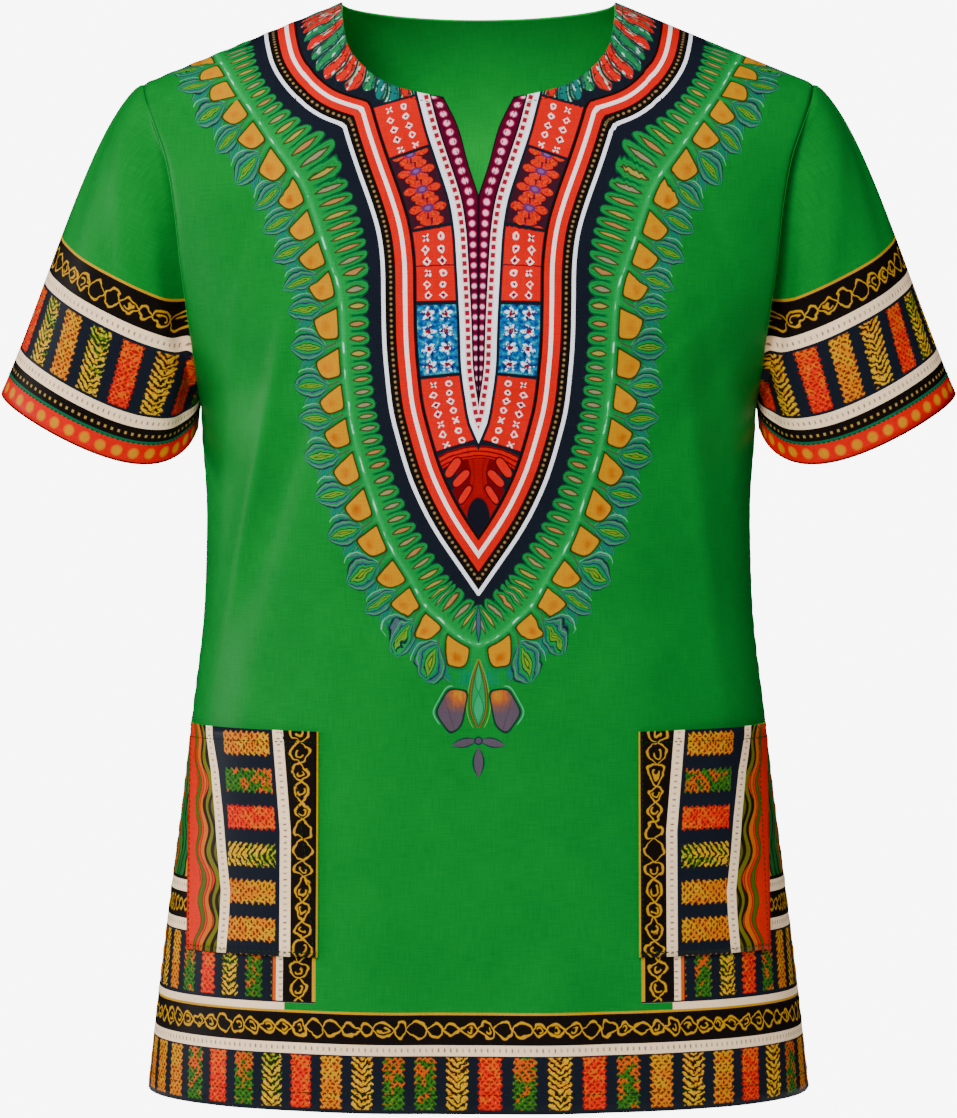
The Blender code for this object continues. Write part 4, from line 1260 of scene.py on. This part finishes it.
def sewn(name, lines, surface, piece_facing=1, closed=False):
    """Rows of lockstitches along lines on a surface, each a short pillow of thread."""
    spots = surface.reshape(-1, 3)
    ways = (outward(surface, closed) * piece_facing).reshape(-1, 3)
    verts, faces, maps = [], [], []
    ring = np.linspace(0, 2 * np.pi, THREAD_SIDES + 1)[:-1]
    for line in lines:
        lengths = np.concatenate(([0], np.cumsum(np.linalg.norm(np.diff(line, axis=0), axis=1))))
        count = int(lengths[-1] / (STITCH + STITCH_GAP))
        middles = (np.arange(count) + 0.5) * lengths[-1] / max(count, 1)
        for at in middles:
            low, mid, high = (np.array([np.interp(at + d, lengths, line[:, c]) for c in range(3)])
                              for d in (-STITCH / 2, 0, STITCH / 2))
            up = ways[np.argmin(((spots - mid) ** 2).sum(1))]
            along = (high - low) / max(np.linalg.norm(high - low), 1e-9)
            aside = np.cross(along, up)
            first = len(verts)
            verts += [low - up * THREAD * THREAD_SUNK, high - up * THREAD * THREAD_SUNK]
            maps += [(0, 0), (STITCH * 1000, 0)]
            for part in THREAD_FULL:
                for angle in ring:
                    rise = up * math.cos(angle) + aside * math.sin(angle)
                    verts.append(low + (high - low) * part + (rise + up * THREAD_PROUD) * THREAD)
                    maps.append((part * STITCH * 1000, angle / 3))
            for k in range(THREAD_SIDES):
                a, b = first + 2 + k, first + 2 + (k + 1) % THREAD_SIDES
                c, d = a + THREAD_SIDES, b + THREAD_SIDES
                faces += [(first, b, a), (first + 1, c, d), (a, b, d, c)]
    mesh = bpy.data.meshes.new(name)
    mesh.from_pydata([tuple(v) for v in verts], [], faces)
    mesh.materials.append(sewing_thread)
    corner = np.empty(len(mesh.loops), np.int32)
    mesh.loops.foreach_get("vertex_index", corner)
    mesh.uv_layers.new(name="thread").data.foreach_set(
        "uv", np.array(maps, np.float32)[corner].reshape(-1))
    mesh.polygons.foreach_set("use_smooth", np.ones(len(faces), bool))
    mesh.update()
    piece = bpy.data.objects.new(name, mesh)
    bpy.context.scene.collection.objects.link(piece)
    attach(piece, "root")
    return piece


def flat_size(cut):
    """A cut's width, length and area in metres, laid flat."""
    x, y = cut[..., 0] / 1000, cut[..., 1] / 1000
    wide, tall = np.ptp(x), np.ptp(y)
    one = (x[1:, 1:] - x[:-1, :-1]) * (y[1:, :-1] - y[:-1, 1:])
    two = (x[1:, :-1] - x[:-1, 1:]) * (y[1:, 1:] - y[:-1, :-1])
    return (float(wide), float(tall)), min(float(np.abs(one - two).sum() / 2), float(wide * tall))


def neck_stitches(side, points, maps):
    """The stitching inside the neck edge, in one line for each side of the notch."""
    reach = NOTCH_STEPS + NECK_STEPS
    lines = []
    for first in (BODY_COLUMNS - reach, BODY_COLUMNS + 1):
        columns = slice(first, first + reach)
        line = level_line(points[:, columns], maps["fan"][:, columns, 1], NECK_STITCHES)
        lines.append(line[NECK_Z - line[:, 2] < NECK_SEWN_TO[side]])
    return lines


front_cloth = cloth_shell("front_cloth", front_points, front_maps, print_slots(front_maps, True),
                          front_cottons)
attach(front_cloth, "root")
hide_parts("front")
front_sewing = sewn("front_stitches", neck_stitches("front", front_points, front_maps) + [
    level_line(front_points, front_cut[..., 1], HEM_STITCHES)], front_points)
flat, area = flat_size(front_cut)

# ==== Back =======================================================================================
# The back is one cut of the same printed cotton, like the front but with a plain, nearly level
# neck. It is sewn to the front at the shoulders and the sides, and hangs in longer, softer folds.
back_places = body_places("back")
back_points = body_points("back", back_places)
back_points = seam_puff(back_points, body_seams(back_points), -1)
back_cut = cut_map("back", back_places)

# The lines that the back's print follows, as on the front.
BACK_YOKE = ((127.8, 15), (123.5, 32), (112, 50), (93, 64), (66, 74), (34, 79.5), (0.3, 81))
BACK_RING = ((176, 35), (168, 60), (151, 86), (124, 108), (90, 123), (47, 131), (0.3, 133))
BACK_NECK_POINTS = 20


def past_middle(line):
    """A line of the back's print run on level to 200 mm past the middle."""
    return np.concatenate((line, line[-1:] - (200, 0)))


neck_across = np.linspace(NECK_HALF, 0.0003, BACK_NECK_POINTS)    # like the tables, to 0.3 mm
back_neck = np.stack((neck_across, BACK_NECK_DROP * (1 - (neck_across / NECK_HALF) ** 2)), -1)
back_yoke_line = past_middle(lines_on_cut("back", BACK_YOKE))
back_ring_line = past_middle(lines_on_cut("back", BACK_RING))
back_maps = print_maps(back_cut, back_yoke_line, back_ring_line,
                       lines_on_cut("back", back_neck * 1000), line_length(back_yoke_line))
back_cloth = cloth_shell("back_cloth", back_points, back_maps, print_slots(back_maps, False),
                         back_cottons, facing=-1)
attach(back_cloth, "root")
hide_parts("back")
back_sewing = sewn("back_stitches", neck_stitches("back", back_points, back_maps) + [
    level_line(back_points, back_cut[..., 1], HEM_STITCHES)], back_points, -1)
flat, area = flat_size(back_cut)

# ==== Sleeves ====================================================================================
# Each short sleeve is one cut of the printed cotton, joined into a tube under the arm and sewn
# into the armhole. It falls away from the shoulder, and its wide hem is turned up and stitched.
CUFF_OUTER, CUFF_INNER = (0.3185, 0.2590), (0.1872, 0.2820)     # distance from the middle and drop
CUFF_HALF_DEPTH = 0.058
CUFF_DIP = (0.033, 0.012)     # how far the hem dips in front and behind
CUFF_DIP_SKEW = 0.38          # how far the dip lies towards the body
CUFF_DIP_SHARPNESS = 1.2
SLEEVE_FALL = np.array((0.41, 0.0, -0.91))
UNDERARM_FALL = np.array((0.10, 0.0, -1.0))
UNDERARM_START, UNDERARM_SPREAD = 0.45, 0.5     # where round the armhole its underarm begins
UNDERARM_CLEAR = 0.0006       # how much further from the body the underarm's edge lies
SLEEVE_HEAD = 0.45            # how far the sleeve goes on straight out of the armhole
SLEEVE_ROWS = 9 * 6           # nine rows of the solid, each in six
SLEEVE_ROW_SPREAD = 1.5       # above 1, the rows lie closer together at the armhole
ARMHOLE_WAY = 0.03            # turn over which the body's own way at the armhole is read


def unit(ways):
    """The ways at a length of 1."""
    return ways / np.linalg.norm(ways, axis=-1, keepdims=True)


def smooth_step(value):
    """0 up to 0 and 1 from 1 on, with a soft rise between."""
    value = np.clip(value, 0, 1)
    return value * value * (3 - 2 * value)


def armhole_loop():
    """Armhole points and outward ways of the cloth, from the shoulder tip down the front and up."""
    points, ways = [], []
    for side in ("front", "back"):
        across, drop = armhole_line(side)
        turn, run = turn_of(across, drop), run_of(side, across, drop)
        near = np.maximum(turn - ARMHOLE_WAY, 0)
        line = form_points(side, 1, turn, across, drop)
        way = line - form_points(side, 1, near, *place_of(side, near, run))
        if side == "front":
            line, way = line[::-1].copy(), way[::-1]
            line[[0, -1], 1] = 0
        else:
            line, way = line[1:-1], way[1:-1]
        points.append(line)
        ways.append(way)
    return np.concatenate(points), np.concatenate(ways)


def cuff_points(turn):
    """Points of the cuff's edge at turns round it from its outer point, first in front."""
    middle = np.add(CUFF_OUTER, CUFF_INNER) / 2
    half = np.subtract(CUFF_OUTER, CUFF_INNER) / 2
    sine = np.sin(turn)
    lean = np.sin(turn - CUFF_DIP_SKEW * np.abs(sine) * np.sign(sine))
    dip = np.where(lean > 0, *CUFF_DIP) * np.abs(lean) ** CUFF_DIP_SHARPNESS
    x = middle[0] + half[0] * np.cos(turn)
    drop = middle[1] + half[1] * np.cos(turn) + dip
    return np.stack((x, -CUFF_HALF_DEPTH * sine, NECK_Z - drop), -1)


def sleeve_points(hand):
    """Rings of points from the armhole to the cuff, for hand -1 or 1."""
    points, ways = armhole_loop()
    part = np.arange(len(points)) / len(points)
    below = smooth_step((1 - np.abs(2 * part - 1) - UNDERARM_START) / UNDERARM_SPREAD)[:, None]
    way = unit(unit(ways) * (1 - below) + unit(UNDERARM_FALL) * below)
    start = points + way * SEAM_GAP
    start[:, :1] += UNDERARM_CLEAR * below
    end = cuff_points(2 * np.pi * part)
    reach = np.linalg.norm(end - start, axis=1, keepdims=True)
    fall = unit(unit(SLEEVE_FALL) * (1 - below) + unit(UNDERARM_FALL) * below)
    t = ((np.arange(SLEEVE_ROWS + 1) / SLEEVE_ROWS) ** SLEEVE_ROW_SPREAD)[:, None, None]
    return bridged(t, start, way * reach * SLEEVE_HEAD, end, fall * reach) * (hand, 1, 1)


# Soft creases of a sleeve at 190, 120, 100, 60 and 0 mm up from its hem: places round it from the
# shoulder, half widths and heights in mm. The first is a hollow in front beside the armhole, with
# a ridge beside it; the next two are the same behind; the last two run down from the shoulder.
CREASES = (
    ((85, 120, 133, 158, 174), (7.0, 7.0, 9.0, 12.0, 14.0), (-2.0, -3.0, -5.0, -6.0, 0.0)),
    ((60, 92, 106, 136, 156), (10.0, 10.0, 10.0, 11.0, 14.0), (1.6, 2.4, 2.2, 1.0, 0.0)),
    ((322, 287, 274, 249, 233), (7.0, 7.0, 9.0, 12.0, 14.0), (-2.0, -3.0, -4.0, -5.0, 0.0)),
    ((345, 313, 300, 270, 250), (10.0, 10.0, 10.0, 11.0, 14.0), (1.2, 2.0, 1.8, 0.8, 0.0)),
    ((30, 38, 41, 46, 54), (12.0, 12.0, 13.0, 14.0, 16.0), (-1.1, -1.1, -1.0, -0.8, -0.3)),
    ((370, 362, 359, 352, 344), (13.0, 13.0, 13.0, 14.0, 16.0), (-1.1, -1.1, -1.0, -0.8, -0.3)))
CREASE_HEIGHTS = (0, 60, 100, 120, 190)
CREASE_FADE = 4.0             # mm from the armhole over which the creases begin
# Along the armhole the cloth dips in behind the body's edge: place round it and depth in mm. The
# dip is steep beside the seam, runs out a little further away, and ends above the cuff.
SEAM_DIP = np.array(((0, 0), (50, 0), (80, 7), (105, 15), (128, 18), (148, 9), (170, 0), (230, 0),
                     (252, 6), (275, 12), (298, 11), (322, 5), (352, 0), (420, 0)))
DIP_START, DIP_RUN = 68, 30   # mm up from the hem where it starts, and until it is full
DIP_STEEPNESS, DIP_WIDTH, DIP_SHARPNESS = 2.0, 19, 2.2
DIP_WITHOUT_PUFF = 4          # a dip of this depth leaves no puff beside the seam


def creased(rings, cut, hand):
    """The sleeve's rings with their creases, and its dip and puffs along the armhole."""
    around, up = cut[:, :-1, 0], cut[:, :-1, 1]
    height = np.zeros(up.shape)
    for crease in CREASES:
        middle, half_width, depth = (np.interp(up, CREASE_HEIGHTS, row[::-1]) for row in crease)
        height += depth * np.exp(-((around - middle) / half_width) ** 2)
    away = up.max(0) - up
    height *= np.clip(away / CREASE_FADE, 0, 1)
    dip = np.interp(around, *SEAM_DIP.T) * np.clip((up - DIP_START) / DIP_RUN, 0, 1)
    dip_share = (1 - np.exp(-away / DIP_STEEPNESS)) * np.exp(-(away / DIP_WIDTH) ** DIP_SHARPNESS)
    height -= dip * dip_share
    height += puff(away / 1000) * 1000 * np.clip(1 - dip / DIP_WITHOUT_PUFF, 0, 1)
    return rings + outward(rings, True) * hand * height[..., None] / 1000


def sleeve_cut(rings):
    """The sleeve's flat cut in millimetres: round from the shoulder, and up from the hem."""
    closed = np.concatenate((rings, rings[:, :1]), 1)
    steps = np.linalg.norm(np.diff(closed[-1], axis=0), axis=1)
    around = np.concatenate(([0], np.cumsum(steps)))
    ribs = np.linalg.norm(np.diff(closed, axis=0), axis=2)
    up = np.concatenate((np.cumsum(ribs[::-1], 0)[::-1], np.zeros((1, closed.shape[1]))))
    return np.stack((np.broadcast_to(around, up.shape), up), -1) * 1000


def cuff_cotton(name, shift, letters):
    """The cuff's border: dots on red, ticks on black, cream, plaited blocks, cream and a chain."""
    cloth = Cotton(name)
    around, up = cloth.place("cuff")
    bands = up.steps((0, (0.06, 0.003, 0.002)), (1.0, RED), (13.2, (0.003, 0.10, 0.04)),
                     (15.6, BLACK), (24.6, CREAM), (32.6, NAVY), (79.0, CREAM), (87.6, BLACK),
                     (110.0, YELLOW), (111.6, GREEN), (140, GREEN))
    dot, number = around.repeat(11.5)
    far = distance(dot, up - 7.2 - (number.chance(3) - 0.5))
    bands = bands.printed(
        (far.below(3.9, 0.7), (0.56, 0.085, 0.0006)),
        (far.below(3.0, 1.2), (0.52, 0.19, 0.001)))
    step, _ = around.repeat(4.8)
    tick = (step.abs() - 0.8).most((up - 19.6).abs() - 0.9)
    bands = bands.over(tick.below(0, 0.5), (0.34, 0.20, 0.04))
    bands = ticks(bands, around, (up - 28.6).abs().least((up - 83.3).abs()))
    bands = chain(cloth, bands, up.within(88.4, 109.4), around, up - 98.6, "cuff", 11.5, 5.6)
    return cloth.finish(braids(cloth, bands, around + (up - 56.0) * 0.04, 56.0 - up, "cuff",
                               (23.0, shift), 7.9, 21.2, 0, letters))


CUFF_PRINT_TOP = 112          # the print ends this far up, in millimetres
CUFF_RISE, CUFF_LEAN = 1.007, 0.02    # how the print follows the cuff, and leans round it
CUFF_STITCHES = 14.0          # millimetres up from the hem
CUFF_BLOCKS = {"left": (-6.5, "RLOLRYRGYO"), "right": (4.5, "YLRYORYRGYO")}    # shift and hues

for hand, word in ((-1, "left"), (1, "right")):
    rings = sleeve_points(hand)
    cut = sleeve_cut(rings)
    rings = creased(rings, cut, hand)
    lean = np.cos(2 * np.pi * np.arange(cut.shape[1]) / (cut.shape[1] - 1))
    cuff = np.stack((cut[..., 0], cut[..., 1] * (CUFF_RISE - CUFF_LEAN * lean)), -1)
    slots = np.where(np.minimum(cuff[1:, :-1, 1], cuff[1:, 1:, 1]) < CUFF_PRINT_TOP, 0, 1)
    cuff_print = cuff_cotton("cuff_print_" + word, *CUFF_BLOCKS[word])
    sleeve = cloth_shell("sleeve_cloth_" + word, rings, {"cut": cut, "cuff": cuff}, slots,
                         [cuff_print, plain_green, inside_green_painted_light], facing=hand, closed=True)
    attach(sleeve, "root")
    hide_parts("sleeve_" + word)
    hem_line = level_line(rings, cut[:, :-1, 1], CUFF_STITCHES)
    cuff_sewing = sewn("cuff_stitches_" + word, [np.concatenate((hem_line, hem_line[:1]))], rings,
                       hand, True)
    flat, area = flat_size(cut)

# ==== Pockets ====================================================================================
# Each of the two patch pockets is one cut of the same printed cotton with its edges turned in. It
# is sewn onto the front along its sides and its foot, and is open at the top, where it gapes a bit.
POCKET_WALL = 0.0013
POCKET_LIFT = 0.0014          # how far the cloth of a pocket lies above the front's
POCKET_FULLNESS = 0.0024
POCKET_STITCHES = (2.5, 2.8, 2.8, 9.0)    # mm in from the inner and outer side, foot and top
# Where the outer strips begin: drop, and distance from the middle on the flat cut.
POCKET_WAVE = ((470, 190), (485, 189), (508, 182.4), (537, 177.4), (560, 174.4), (584, 170.4),
               (600, 171), (626, 173.2))
WAVE_SCALE = 200.0            # the distance that a ramp's full value stands for
front_out = outward(front_points)


def pocket_cotton(name):
    """The pockets' strips: chain, cream, a column of plaited blocks, cream, wavy vines and red."""
    cloth = Cotton(name)
    width, height = cloth.place("cut")
    drop, side = -height, width.abs()
    bend = (545.0 - drop).most(0.0) * 0.09
    strip = side.steps((101, BLACK), (102.6, YELLOW), (104.0, BLACK), (240, BLACK))
    strip = chain(cloth, strip, side.above(104.8), drop, side - bend * 0.5 - 113.2, "cut",
                  12.5, 5.6)
    across = side - bend
    strip = strip.over(across.above(121.6), CREAM)
    strip = ticks(strip, drop, across - 125.4)
    strip = strip.over(across.above(129.2), NAVY)
    strip = braids(cloth, strip, drop, across - 150.5, "cut", (23.7, -3.35), 7.9, 18.2,
                   20, "OGRLOOO")
    # The outer strips wave as they were sewn.
    wave = drop.steps(*[(at, (place / WAVE_SCALE,) * 3) for at, place in POCKET_WAVE], smooth=True)
    wavy = side - wave * WAVE_SCALE
    strip = strip.over(wavy.above(-3.9), CREAM)
    strip = ticks(strip, drop, wavy)
    ripple = (drop * 0.21).sin() * 2.6 + (drop * 0.077).sin() * 1.4
    vine, number = (wavy + ripple).repeat(6.6, 1.2)
    wine = number.steps((-0.5, (0.10, 0.085, 0.003)), (0.5, (0.13, 0.12, 0.004)),
                        (1.5, (0.52, 0.10, 0.001)), (2.5, (0.060, 0.095, 0.004)),
                        (3.5, (0.56, 0.030, 0.001)), (5.0, RED_ORANGE))
    ground = cloth.plain((0.012, 0.008, 0.003)).over((wavy + ripple * 1.4).above(13.0), RED_ORANGE)
    thick = vine.abs() - 1.7 - (drop * 0.11 + number * 2.0).sin() * 0.6
    ground = ground.printed(
        (thick.below(0.6, 0.4), (0.014, 0.012, 0.004)),
        (thick.below(0, 0.4), wine))
    strip = strip.over(wavy.above(3.9), ground)
    return cloth.finish(strip.over((wavy + ripple * 0.5).above(25.0), (0.60, 0.010, 0.0006)))


pocket_print = pocket_cotton("pocket_print")
for hand, word in ((-1, "left"), (1, "right")):
    first = BODY_COLUMNS + hand * CENTRE_COLUMNS
    columns = first + hand * np.arange(POCKET_COLUMNS + 1)
    if hand < 0:
        columns = columns[::-1]
    rows = slice(HEM_ROWS, HEM_ROWS + POCKET_ROWS + 1)
    across = np.abs(columns - first) / POCKET_COLUMNS
    up = (np.arange(POCKET_ROWS + 1) / POCKET_ROWS)[:, None]
    lift = SEAM_GAP + POCKET_LIFT + POCKET_FULLNESS * np.sin(np.pi * across) * up ** 2
    points = front_points[rows][:, columns] + front_out[rows][:, columns] * lift[..., None]
    cut = front_cut[rows][:, columns]
    slots = np.zeros((points.shape[0] - 1, points.shape[1] - 1), int)
    pocket = cloth_shell("pocket_cloth_" + word, points, {"cut": cut}, slots,
                         [pocket_print, inside_green_painted_light], wall=POCKET_WALL)
    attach(pocket, "root")
    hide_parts("pocket_" + word)
    wide = np.abs(cut[..., 0] - cut[:, :1, 0])
    one_side, other_side, foot, top = POCKET_STITCHES
    sides = [level_line(points.swapaxes(0, 1), wide.T, level)
             for level in (one_side, wide[0].max() - other_side)]
    rim = [level_line(points, cut[..., 1], level)
           for level in (cut[0, :, 1].min() + foot, cut[-1, :, 1].max() - top)]
    pocket_sewing = sewn("pocket_stitches_" + word, sides + rim, points)
    flat, area = flat_size(cut)

# ==== Studio =====================================================================================
# A plain pale floor lies below the shirt in a plain white surround. Soft round lamps light it from
# in front, above, behind and one side, and only the side lamp shows as a faint sheen on the folds.
SURROUND_SEEN, SURROUND_LIGHT = 8.0, 0.27     # strengths
IMAGE_HEIGHT, FOCAL_LENGTH, RAISED = 1118, 3892, 33     # the camera's framing in pixels
SENSOR = 36
CAMERA_PLACE = (0, -2.6, -0.3287)

bpy.ops.object.select_all(action="DESELECT")
bpy.ops.mesh.primitive_circle_add(vertices=64, radius=1.2, fill_type="NGON",
                                  location=(0, 0, -1.0))
floor = bpy.context.active_object
floor.name = "floor"
pale = bpy.data.materials.new("pale_floor")
pale.use_nodes = True
pale_shader = pale.node_tree.nodes["Principled BSDF"]
pale_shader.inputs["Base Color"].default_value = (0.92, 0.92, 0.92, 1)
pale_shader.inputs["Roughness"].default_value = 0.9
floor.data.materials.append(pale)

world = bpy.data.worlds.new("studio")
bpy.context.scene.world = world
world.use_nodes = True
world.cycles_visibility.glossy = False
nodes, links = world.node_tree.nodes, world.node_tree.links
seen_white, lit_white = nodes.new("ShaderNodeBackground"), nodes["Background"]
for white, strength in ((seen_white, SURROUND_SEEN), (lit_white, SURROUND_LIGHT)):
    white.inputs["Color"].default_value = (1, 1, 1, 1)
    white.inputs["Strength"].default_value = strength
path, mixed = nodes.new("ShaderNodeLightPath"), nodes.new("ShaderNodeMixShader")
links.new(path.outputs["Is Camera Ray"], mixed.inputs[0])
links.new(lit_white.outputs[0], mixed.inputs[1])
links.new(seen_white.outputs[0], mixed.inputs[2])
links.new(mixed.outputs[0], nodes["World Output"].inputs["Surface"])


def area_light(name, place, aim, size, watts, glints=False):
    """A round lamp of a size, aimed at a place; glints says whether it shows in the sheen."""
    light = bpy.data.lights.new(name, "AREA")
    light.shape, light.size, light.energy = "DISK", size, watts
    lamp = bpy.data.objects.new(name, light)
    lamp.location = place
    lamp.visible_glossy = glints
    lamp.rotation_euler = (Vector(aim) - Vector(place)).to_track_quat("-Z", "Y").to_euler()
    bpy.context.scene.collection.objects.link(lamp)


area_light("front_light", (-0.9, -3.0, 1.1), (0, 0, -0.3), 1.2, 102)
area_light("side_light", (-2.7, 0.1, 0.1), (0, 0, -0.35), 1.0, 42, glints=True)
area_light("top_light", (0.0, -1.6, 1.7), (0, 0.05, -0.05), 0.8, 42)
area_light("back_light", (1.2, 3.0, 1.1), (0, 0, -0.3), 1.6, 90)

lens = bpy.data.cameras.new("camera")
lens.sensor_fit, lens.sensor_height, lens.sensor_width = "AUTO", SENSOR, SENSOR
lens.lens = SENSOR * FOCAL_LENGTH / IMAGE_HEIGHT
lens.shift_y = -RAISED / IMAGE_HEIGHT
camera = bpy.data.objects.new("camera", lens)
camera.location = CAMERA_PLACE
camera.rotation_euler = (math.pi / 2, 0, 0)
bpy.context.scene.collection.objects.link(camera)
bpy.context.scene.camera = camera
